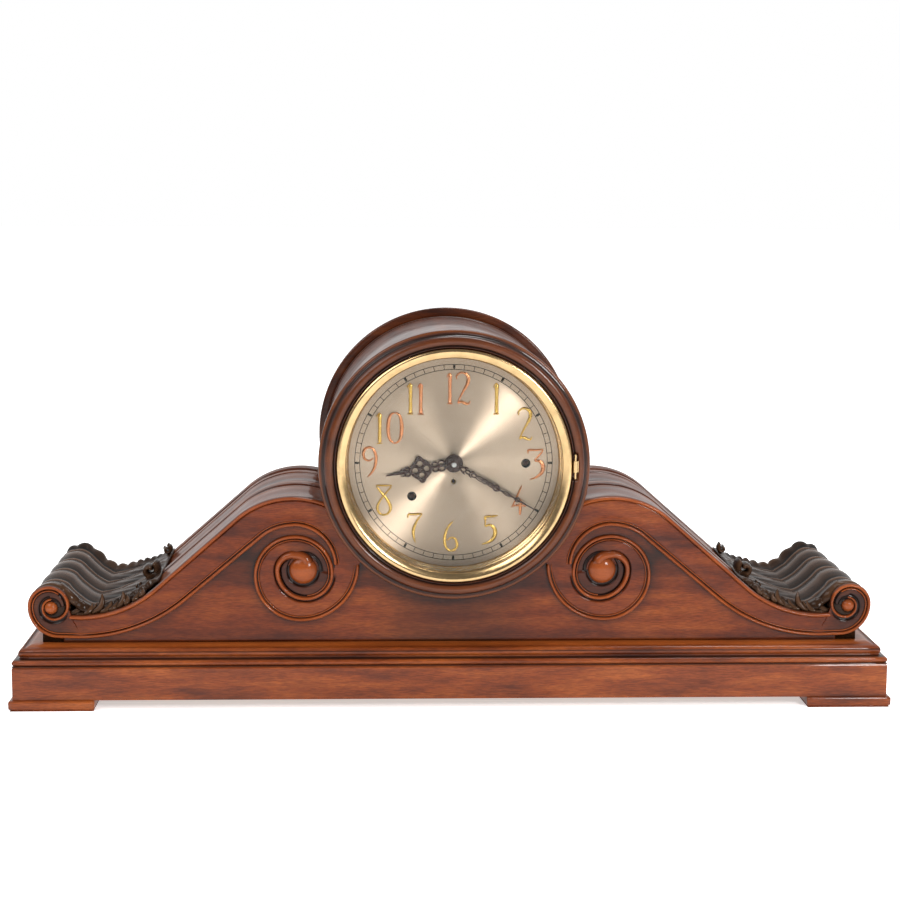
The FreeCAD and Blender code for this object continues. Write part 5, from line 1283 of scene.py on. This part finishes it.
    def frill(self) -> Patch:
        """Return the row of small leaflets between the eye ring and the shoulder's bead."""
        datum = self.lines.datum
        parts = []
        base = self.lines.top[(self.lines.top[:, 0] > 268) & (self.lines.top[:, 0] < 334)][::-1]
        roots = resample(base, 10)
        for number, (x, z) in enumerate(roots):
            share = number / (len(roots) - 1)
            length = (13.0 * (1 - share) ** 0.8 + 6.0) * (1 + 0.3 * math.sin(number * 2.4))
            lean = math.radians(142 - 30 * share + 16 * math.sin(number * 1.7))
            t = np.linspace(0, 1, 16)
            bow = 0.22 * length * np.sin(t * math.pi)
            path = np.column_stack([
                x + 3 + length * t * math.cos(lean) - bow * math.sin(lean),
                z + 0.4 + length * t * math.sin(lean) + bow * math.cos(lean),
            ])
            swell = 0.7 + 2.2 * np.sin(np.clip(t * 1.1, 0, 1) * math.pi) ** 0.7
            thick = 1.7 * np.sin(np.clip(t + 0.12, 0, 1) * math.pi) + 0.5
            # painted shade on the flanks and a lighter crown, partly rubbing, partly painted highlight
            parts.append(strand(path, swell, thick, datum.body_front + 3.0 + 4.5 * t, 10, 0.8, 0.3))
        return join(parts)

    def build(self, dark: Material) -> None:
        """Build both ends."""
        core, leaf = join([self.core(), self.block()]), self.leaf()
        curls = join([self.curls(), self.frill()])
        new_piece("roll_core_right", core, "case", dark, ("end_roll_right",))
        new_piece("roll_core_left", core.mirrored(), "case", dark, ("end_roll_left",))
        both = join([leaf, leaf.mirrored()])
        new_piece("acanthus_fluted", both, "case", dark, ("acanthus_leaves",))
        new_piece("acanthus_curls", join([curls, curls.mirrored()]), "case", dark)


# ---- Dial, bezel and hands -----------------------------------------------------------------------

class Tint(Enum):
    """Two golds of the numerals: how much of the second shows."""

    YELLOW = 0.0
    COPPER = 1.0


STROKES: dict[str, list[list[tuple[float, float, float]]]] = {
    "1": [[(0, -13.4, 3.4), (0, 0, 3.0), (0.1, 13.4, 3.9)],
          [(-3.0, 9.2, 0.7), (-1.4, 12.0, 1.2), (0.4, 13.3, 1.6)],
          [(-2.7, -13.1, 1.1), (2.7, -13.1, 1.1)]],
    "2": [[(-5.2, 7.6, 0.9), (-5.6, 10.6, 1.7), (-2.6, 13.4, 1.8), (1.6, 13.0, 2.3), (4.6, 9.4, 3.3),
           (3.6, 3.8, 3.0),
           (0.2, -2.4, 2.0), (-3.0, -8.6, 1.5), (-4.6, -13.0, 1.2)],
          [(-4.8, -13.0, 1.2), (-1.6, -11.4, 2.3), (1.8, -12.8, 2.5), (4.8, -13.2, 1.7), (6.2, -10.6, 1.0)]],
    "3": [[(-6.6, 8.8, 0.8), (-6.2, 12.0, 2.0), (0.0, 12.2, 2.1), (6.9, 12.6, 1.4)],
          [(6.6, 12.2, 1.2), (3.0, 7.4, 1.7), (-1.2, 2.8, 1.4)],
          [(-1.0, 2.6, 1.2), (3.6, 2.4, 2.8), (6.6, -2.0, 3.8), (5.2, -7.6, 3.2), (1.0, -11.4, 2.0),
           (-5.0, -13.6, 0.8)]],
    "4": [[(2.4, 13.4, 0.8), (-0.6, 6.0, 1.8), (-4.6, -3.0, 1.4), (-6.6, -6.6, 0.9)],
          [(-6.6, -5.2, 1.2), (0.0, -4.4, 2.4), (6.4, -5.4, 1.2)],
          [(1.6, 1.4, 1.0), (1.2, -6.0, 3.0), (0.8, -13.4, 1.4)]],
    "5": [[(-4.6, 8.4, 0.8), (-3.8, 11.4, 1.8), (1.6, 11.8, 2.1), (7.2, 12.6, 1.1)],
          [(-3.6, 11.2, 1.5), (-3.8, 6.6, 1.5), (-4.2, 2.8, 1.3)],
          [(-4.2, 2.8, 1.2), (0.0, 4.2, 2.4), (4.2, 1.0, 3.4), (4.4, -4.4, 3.6), (0.8, -9.8, 2.6),
           (-6.8, -12.8, 1.0)]],
    "6": [[(1.6, 13.2, 0.8), (-2.6, 8.4, 2.0), (-5.4, 1.4, 2.7), (-5.6, -6.4, 2.7), (-2.6, -12.2, 2.1),
           (2.2, -12.4, 2.3),
           (5.0, -8.0, 2.7), (3.6, -2.8, 2.2), (-0.4, -1.4, 1.5), (-3.8, -4.0, 1.0)]],
    "7": [[(-6.4, 8.6, 0.8), (-5.6, 11.8, 1.9), (0.0, 12.0, 2.1), (6.2, 12.6, 1.2)],
          [(6.0, 12.2, 1.1), (1.6, 6.4, 2.0), (-1.4, -1.0, 2.9), (-1.4, -7.2, 2.4), (0.2, -13.2, 0.8)]],
    "8": [[(-7.2, 12.4, 1.2), (0.0, 12.2, 1.9), (7.2, 12.4, 1.2)],
          [(-6.6, 11.6, 1.2), (-2.6, 6.6, 2.0), (2.6, 0.2, 2.5), (5.7, -6.4, 2.8),
           (3.8, -11.8, 2.1), (0.0, -13.2, 1.9),
           (-3.8, -11.8, 2.1), (-5.7, -6.4, 2.4), (-2.6, 0.2, 1.8), (2.6, 6.6, 1.5), (6.6, 11.6, 1.2)]],
    "0": [[(0.1, 13.3, 1.5), (3.9, 10.6, 2.3), (5.6, 4.2, 3.1), (5.6, -4.2, 3.1),
           (3.9, -10.6, 2.3), (0.0, -13.3, 1.5),
           (-3.9, -10.6, 2.3), (-5.6, -4.2, 3.1), (-5.6, 4.2, 3.1), (-3.9, 10.6, 2.3), (-0.1, 13.3, 1.5)]],
}
STROKES["9"] = [[(-x, -z, width) for x, z, width in stroke] for stroke in STROKES["6"]]

FIGURES: list[tuple[str, float, float, Tint]] = [
    ("1", -3.6, 64.2, Tint.COPPER), ("2", 7.6, 64.2, Tint.COPPER), ("1", 36.4, 55.6, Tint.YELLOW),
    ("2", 61.0, 33.6, Tint.YELLOW), ("3", 70.4, -1.0, Tint.COPPER), ("4", 56.6, -32.4, Tint.COPPER),
    ("5", 31.4, -58.4, Tint.YELLOW), ("6", -1.6, -63.8, Tint.YELLOW), ("7", -32.8, -56.6, Tint.YELLOW),
    ("8", -59.8, -31.8, Tint.YELLOW), ("9", -72.4, 0.6, Tint.COPPER), ("1", -63.4, 30.0, Tint.YELLOW),
    ("0", -50.4, 30.4, Tint.COPPER), ("1", -37.2, 55.4, Tint.YELLOW), ("1", -28.4, 55.2, Tint.COPPER),
]


def flowing(knots: list[tuple[float, ...]], steps: int = 8) -> Array:
    """Return a Catmull-Rom curve through knots of any number of values.

    Args:
        knots: points, each a row of values.
        steps: points between two knots.
    """
    k = np.asarray(knots, float)
    k = np.vstack([2 * k[0] - k[1], k, 2 * k[-1] - k[-2]])
    t = np.linspace(0, 1, steps, endpoint=False)[None, :, None]
    p0, p1, p2, p3 = (k[place:len(k) - 3 + place, None] for place in range(4))
    square, cube = 2 * p0 - 5 * p1 + 4 * p2 - p3, 3 * p1 - p0 - 3 * p2 + p3
    curve = 0.5 * (2 * p1 + (p2 - p0) * t + square * t ** 2 + cube * t ** 3)
    return np.vstack([curve.reshape(-1, k.shape[1]), k[-2]])


@dataclass
class Dial:
    """Raised numerals, sight ring, bezel and retainer."""

    datum: Datum

    def numerals(self, gold: Material) -> None:
        """Build the raised figures 1 to 12 as domed strokes of changing width."""
        parts = []
        for figure, x, z, tint in FIGURES:
            for stroke in STROKES[figure]:
                curve = flowing(stroke)
                path = curve[:, :2] + [x, z + self.datum.axis_z]
                half = np.clip(curve[:, 2] / 2, 0.35, None)
                part = strand(path, half, 1.15, self.datum.dial_front - 0.15, 12)
                part.wear_tint_and_highlight = np.full(len(part.points), tint.value)
                parts.append(part)
        new_piece("numerals_raised", join(parts), "case", gold, ("dial_numerals",))

    def sight(self, brass: Material) -> None:
        """Turn the sloping brass ring between the dial and the bezel."""
        datum = self.datum
        y, front, r = datum.dial_front, datum.sight_front, datum.dial_radius - 2
        outline = np.array([
            (r, y - 0.1), (r, y - 0.9), (r + 1.0, y - 1.6), *smooth_profile(
                [(r + 1.4, y - 2.6), (r + 3.6, y - 4.4), (r + 7.0, front + 1.2)], 5,
            ).tolist(), (r + 7.6, front), (r + 8.0, front + 0.3), (r + 8.0, y - 0.1),
        ])
        ring = turned(outline, datum.axis_z)
        new_piece("sight_ring_turned", ring, "case", brass, ("dial_sight_ring",))

    def wells(self, dark: Material) -> None:
        """Line the two winding holes with near-black sleeves, closed behind round the arbors: painted shade
        for the dark inside of the holes.
        """
        parts = []
        front = self.datum.dial_front
        outline = np.array([
            (2.75, front + 7.7), (4.8, front + 7.7), (4.8, front + 1.1), (3.9, front + 1.1),
            (3.9, front + 6.9), (2.75, front + 6.9),
        ])
        for node in ("time_winding_arbor", "strike_winding_arbor"):
            low, high = corners(node)
            parts.append(turned(outline, (low[2] + high[2]) / 2, 48, (low[0] + high[0]) / 2))
        new_piece("winding_wells", join(parts), "case", dark)

    def bezel(self, brass: Material) -> None:
        """Turn the opening brass ring that carries the glass, and the ring that retains it."""
        datum = self.datum
        outer, front = datum.bezel_radius, datum.ring_front
        outline = np.array(
            [(outer, front + 7.9), (outer, front + 3.2)]
            + arc((outer - 3.0, front + 3.1), 3.0, 360, 270, 0.5).tolist()
            + [(outer - 5.0, front + 0.5), (outer - 6.4, front + 1.6)]
            + [(outer - 7.6, front + 2.2), (outer - 8.4, front + 2.9)]
            + [(outer - 8.5, front + 3.9), (outer - 2.6, front + 3.9), (outer - 2.6, front + 7.9)]
        )
        patch = turned(outline, datum.axis_z, 320)
        new_piece("bezel_turned", patch, "bezel", brass, ("bezel_ring",))
        low, high = corners("bezel_retainer")
        rim = (high[0] - low[0]) / 2
        y0, y1 = low[1], high[1]
        inner = outer - 8.3
        section = [(inner, y0), (rim - 0.2, y0), (rim, y0 + 0.2)]
        section += [(rim, y1), (inner + 0.4, y1), (inner, y1 - 0.3)]
        ring = turned(rounded(section, 3), datum.axis_z)
        new_piece("retainer_turned", ring, "bezel", brass, ("bezel_retainer",))


@dataclass
class Hand:
    """One pierced hand, drawn along its length and turned to where it points.

    Distances along and across the hand are (u, v) pairs.
    """

    name: str
    node: str
    body: str
    bearing: float
    parts: list[Patch] = field(default_factory=list)
    axis_z: float = 0.0
    y: float = 0.0
    depth: float = 0.5

    def __post_init__(self) -> None:
        """Read the hand's layer from its node."""
        low, high = corners(self.node)
        self.y = (low[1] + high[1]) / 2
        self.depth = (high[1] - low[1]) / 2

    def aim(self, line: Array) -> Array:
        """Turn (u, v) points to the hand's bearing, clockwise from twelve."""
        turn = math.radians(self.bearing)
        along = np.array([math.sin(turn), math.cos(turn)])
        across = np.array([math.cos(turn), -math.sin(turn)])
        return line[:, :1] * along + line[:, 1:2] * across + [0.0, self.axis_z]

    def bar(self, knots: list[tuple[float, float, float]]) -> None:
        """Add a strip through (u, v, half width) knots."""
        curve = flowing(knots)
        self.parts.append(strand(self.aim(curve[:, :2]), curve[:, 2], self.depth, self.y, 10))

    def hoop(self, u: float, v: float, long: float, wide: float, half: float) -> None:
        """Add an oval hoop.

        Args:
            u: its middle along the hand.
            v: its middle across the hand.
            long: half its length.
            wide: half its width.
            half: half the width of its metal.
        """
        turn = np.linspace(0, 2 * math.pi, 40)
        line = np.column_stack([u + long * np.cos(turn), v + wide * np.sin(turn)])
        self.parts.append(strand(self.aim(line), half, self.depth * 0.96, self.y, 10))

    def build(self, metal: Material) -> None:
        """Join the parts into one piece."""
        new_piece(self.name, join(self.parts), self.body, metal, (self.node,))


def hour_hand(datum: Datum, bearing: float, metal: Material) -> None:
    """Build the hour hand: boss, knot, cross with four piercings, thorns and a long point."""
    hand = Hand("hour_hand_pierced", "hour_hand", "hour_train", bearing, axis_z=datum.axis_z)
    hand.hoop(0.0, 0.0, 6.0, 6.0, 1.9)
    for u, size in ((10.6, 2.2), (16.2, 2.0)):
        hand.hoop(u, size, size + 0.6, size, 0.75)
        hand.hoop(u, -size, size + 0.6, size, 0.75)
    hand.bar([(7.0, 0.0, 1.3), (14.0, 0.0, 1.0), (21.0, 0.0, 1.2)])
    middle = 28.7
    for u, v in ((middle - 5, 0), (middle + 5, 0), (middle, 5), (middle, -5)):
        hand.hoop(u, v, 3.5, 3.5, 1.25)
    for side in (-1, 1):
        tip, thorn, root = side * 8.8, side * 10.6, side * 3.4
        hand.bar([(middle - 3.2, tip, 0.5), (middle, thorn, 1.3), (middle + 3.2, tip, 0.5)])
        for way in (-1, 1):
            hand.bar([
                (middle + way * 8.6, root, 0.5), (middle + way * 5.5, side * 5.6, 1.2),
                (middle + way * 3.4, side * 8.4, 0.5),
            ])
        hand.bar([(37.0, side * 0.6, 0.8), (39.5, side * 3.6, 0.9), (43.0, side * 3.2, 0.5)])
        hand.bar([(41.0, side * 0.6, 0.8), (43.8, side * 2.8, 0.8), (46.8, side * 2.2, 0.4)])
    hand.bar([(36.0, 0.0, 1.5), (42.0, 0.0, 1.4), (47.0, 0.0, 1.3), (54.0, 0.0, 0.9), (59.6, 0.0, 0.3)])
    hand.build(metal)


def minute_hand(datum: Datum, bearing: float, metal: Material) -> None:
    """Build the minute hand: boss, twined filigree, small hoops and a long needle."""
    hand = Hand("minute_hand_pierced", "minute_hand", "minute_train", bearing, axis_z=datum.axis_z)
    hand.hoop(0.0, 0.0, 4.4, 4.4, 1.5)
    for u, size in ((9.0, 1.9), (13.6, 1.5), (19.6, 1.5), (30.2, 1.7)):
        hand.hoop(u, 0.0, size + 0.7, size, 0.62)
    for side in (-1, 1):
        hand.bar([(6.0, 0.6 * side, 0.7), (10.0, 2.4 * side, 0.7), (12.6, 3.1 * side, 0.4)])
        hand.bar([(15.0, 0.6 * side, 0.6), (17.0, 2.2 * side, 0.7), (18.8, 2.9 * side, 0.35)])
        hand.bar([(21.0, 0.2 * side, 0.5), (25.0, 1.7 * side, 0.5), (29.0, 0.9 * side, 0.5)])
        hand.bar([(32.0, 0.3 * side, 0.5), (36.0, 1.5 * side, 0.55), (40.0, 0.6 * side, 0.5)])
        hand.bar([(38.0, 0.4 * side, 0.7), (41.6, 2.2 * side, 0.9), (45.4, 0.5 * side, 0.6)])
        hand.bar([(47.0, 0.2 * side, 0.45), (52.0, 1.3 * side, 0.45), (57.0, 0.3 * side, 0.45)])
        hand.bar([(60.0, 0.3 * side, 0.5), (62.6, 1.7 * side, 0.6), (65.0, 0.4 * side, 0.4)])
    hand.bar([(22.0, 0.0, 0.35), (40.0, 0.0, 0.8), (43.0, 0.0, 1.1), (50.0, 0.0, 0.4)])
    hand.bar([(49.0, 0.0, 0.45), (62.0, 0.0, 0.75), (72.0, 0.0, 0.65), (81.6, 0.0, 0.3)])
    hand.build(metal)


def hand_nut(datum: Datum, metal: Material) -> None:
    """Turn the domed nut that holds the minute hand."""
    low, high = corners("hand_nut")
    radius = (high[0] - low[0]) / 2
    outline = np.array(
        [(1.2, high[1]), (radius, high[1]), (radius, low[1] + 1.5)]
        + [(radius - 0.5, low[1] + 0.9), (radius - 1.1, low[1] + 1.2), (radius - 1.6, low[1] + 0.5)]
        + [(1.9, low[1]), (1.2, low[1] + 0.2)]
    )
    nut = turned(outline, datum.axis_z, 64)
    new_piece("hand_nut_domed", nut, "minute_train", metal, ("hand_nut",))


# ---- Finishes on slots, stage and camera ----------------------------------------------------------

MAHOGANY = ("#4C1E0B", "#773510", "#954C1C")

FINISHES = {
    # in each wood the third colour is darker tone and painted shade, the fourth rubbing and painted highlight
    "mahogany": Timber("mahogany_lacquered", MAHOGANY, "#170C08", "#A65B28"),
    # the same wood with its grain from front to back, so that no end grain shows on the sides
    "mahogany_deep": Timber(
        "mahogany_front_to_back", MAHOGANY, "#170C08", "#A65B28",
        pore_cell=(0.45, 7.0, 0.45), figure_cell=(14.0, 90.0, 14.0),
    ),
    # carving takes less lacquer, so that the painted shade in its hollows stays dark
    "carved_mahogany": Timber(
        "mahogany_carved", ("#431809", "#692B0D", "#874116"), "#0F0806", "#A0542A", 0.36, 0.3, 0.04,
    ),
    "ebonised_wood": Timber(
        "carved_ends", ("#1C110A", "#2A1A10", "#3A2618"), "#050302", "#70503A", 0.26, 0.18, 0.02,
    ),
    "plain_wood": Timber("deal", ("#8A6238", "#A37847", "#B88C58"), "#4A3320", "#C9A070", 0.7, 0.0),
    "gilt": Metal("numeral_gilding", "#C6A253", "#8A7038", "#C08058", 0.28, 0.4, 5.0),
    "polished_brass": Metal("brass_lacquered", "#BFA175", "#8C7A50", "#E8D9A8", 0.2, 0.6, 14.0),
    "movement_brass": Metal("brass_satin", "#B8985A", "#7A6436", "#D0B880", 0.35, 0.4, 12.0),
    "steel": Metal("steel_bright", "#A9A9A6", "#6E6A64", "#C8C8C6", 0.28, 0.35, 8.0),
    "dark_steel": Metal("hands_bronzed", "#30180F", "#140C09", "#6B4A3A", 0.42, 0.5, 4.0, 0.5),
    "cast_iron": Metal("iron_painted", "#2A2A2A", "#1C1A18", "#444444", 0.6, 0.4, 6.0, 0.3),
    "clear_glass": Pane("pane"),
}


SPECIAL = {
    # the winding and regulating arbors take the dark finish of the hands as painted shade, since they sit
    # deep in their holes
    "time_winding_arbor": "dark_steel",
    "strike_winding_arbor": "dark_steel",
    "regulator_arbor": "dark_steel",
    "plinth_ends": "mahogany_deep",
}


def dress(frame: dict, materials: dict[str, Material]) -> None:
    """Give every node of the frame the finish of its own slot, or the one that SPECIAL sets for it.

    Args:
        materials: slot to finish.
    """
    for part in frame["record"]["subparts"]:
        mesh = frame["nodes"][part["node"]].data
        mesh.materials.clear()
        mesh.materials.append(materials[SPECIAL.get(part["node"], part["material_slot"])])


@dataclass
class Stage:
    """Pale floor, soft lights and the camera."""

    position: tuple[float, float, float] = (-68.8, -1701.1, 454.65)
    yaw: float = 2.3296
    pitch: float = 8.1954
    roll: float = 0.3278
    lens: float = 76.08
    front_sky: float = 0.2

    def floor(self) -> None:
        """Lay a wide pale floor under the clock."""
        bpy.ops.mesh.primitive_plane_add(size=30, location=(0, 0, 0))
        plane = bpy.context.object
        graph = Graph("stage_floor")
        plane.data.materials.append(graph.finish({
            "Base Color": colour("#FFFFFF"), "Roughness": 0.95, "Specular IOR Level": 0.0,
            "Emission Color": colour("#FFFFFF"), "Emission Strength": 0.5,
        }))

    def light(
        self, name: str, place: tuple[float, float, float], size: tuple[float, float], power: float,
    ) -> None:
        """Add a soft rectangular light that faces the clock.

        Args:
            name: its name.
            place: where it hangs, in metres.
            size: width and height in metres.
            power: watts.
        """
        data = bpy.data.lights.new(name, "AREA")
        data.shape = "RECTANGLE"
        data.size, data.size_y = size
        data.energy = power
        lamp = bpy.data.objects.new(name, data)
        lamp.location = place
        lamp.rotation_euler = (Vector((0, 0, 0.15)) - Vector(place)).to_track_quat("-Z", "Y").to_euler()
        bpy.context.scene.collection.objects.link(lamp)

    def camera(self) -> None:
        """Create the camera from its place, its three turns and its lens."""
        yaw, pitch, roll = (math.radians(value) for value in (self.yaw, self.pitch, self.roll))
        forward = Vector((math.sin(yaw) * math.cos(pitch), math.cos(yaw) * math.cos(pitch), -math.sin(pitch)))
        right = forward.cross(Vector((0, 0, 1))).normalized()
        up = right.cross(forward)
        right, up = right * math.cos(roll) + up * math.sin(roll), up * math.cos(roll) - right * math.sin(roll)
        data = bpy.data.cameras.new("front_camera")
        data.lens = self.lens
        data.sensor_width = 36.0
        eye = bpy.data.objects.new("front_camera", data)
        turn = Matrix((right, up, -forward)).transposed().to_4x4()
        eye.matrix_world = Matrix.Translation([length * MM for length in self.position]) @ turn
        bpy.context.scene.collection.objects.link(eye)
        bpy.context.scene.camera = eye

    def build(self) -> None:
        """Set the floor, the sky, the lights and the camera."""
        scene = bpy.context.scene
        scene.view_settings.view_transform = "Standard"
        world = bpy.data.worlds.new("studio")
        world.use_nodes = True
        tree = world.node_tree
        sky = tree.nodes["Background"]
        direction = tree.nodes.new("ShaderNodeTexCoord")
        split = tree.nodes.new("ShaderNodeSeparateXYZ")
        dim = tree.nodes.new("ShaderNodeMapRange")
        tree.links.new(direction.outputs["Generated"], split.inputs[0])
        tree.links.new(split.outputs["Y"], dim.inputs[0])
        for place, value in enumerate((-0.5, 0.25, self.front_sky, 1.0), 1):
            dim.inputs[place].default_value = value
        tree.links.new(dim.outputs[0], sky.inputs["Strength"])
        sky.inputs["Color"].default_value = (1, 1, 1, 1)
        scene.world = world
        self.floor()
        self.light("key", (0.95, -1.6, 0.86), (0.42, 0.42), 24.0)
        self.light("fill", (-1.3, -1.2, 1.6), (1.6, 1.0), 28.0)
        self.light("top", (0.3, 0.25, 1.9), (1.4, 0.3), 20.0)
        self.camera()


def main() -> None:
    """Build the clock's looks in order."""
    logging.basicConfig(level=logging.INFO, format="%(message)s")
    datum = Datum.read()
    materials = {slot: finish.build() for slot, finish in FINISHES.items()}
    centre = (0.0, datum.dial_front, datum.axis_z)
    materials["silvered_brass"] = BrushedDial("dial_silvered", centre, "#CDBAA4", "#A08468").build()
    dress(frame, materials)
    Case(datum).build(materials["mahogany"], materials["mahogany_deep"])
    lines = ScrollLines(datum)
    Carving(lines).build(materials["carved_mahogany"])
    Shoulders(lines).build(materials["mahogany"])
    EndScrolls(lines).build(materials["ebonised_wood"])
    dial = Dial(datum)
    dial.numerals(materials["gilt"])
    dial.sight(materials["polished_brass"])
    dial.bezel(materials["polished_brass"])
    # the sleeves' near-black finish is painted shade inside the winding holes
    dial.wells(Metal("well_painted_shade", "#0B0908", "#080606", "#1A1614", 0.7, 0.3, 4.0, 0.2).build())
    hour_hand(datum, 259.5, materials["dark_steel"])
    minute_hand(datum, 119.5, materials["dark_steel"])
    hand_nut(datum, materials["dark_steel"])
    Stage().build()


if __name__ == "__main__":
    main()
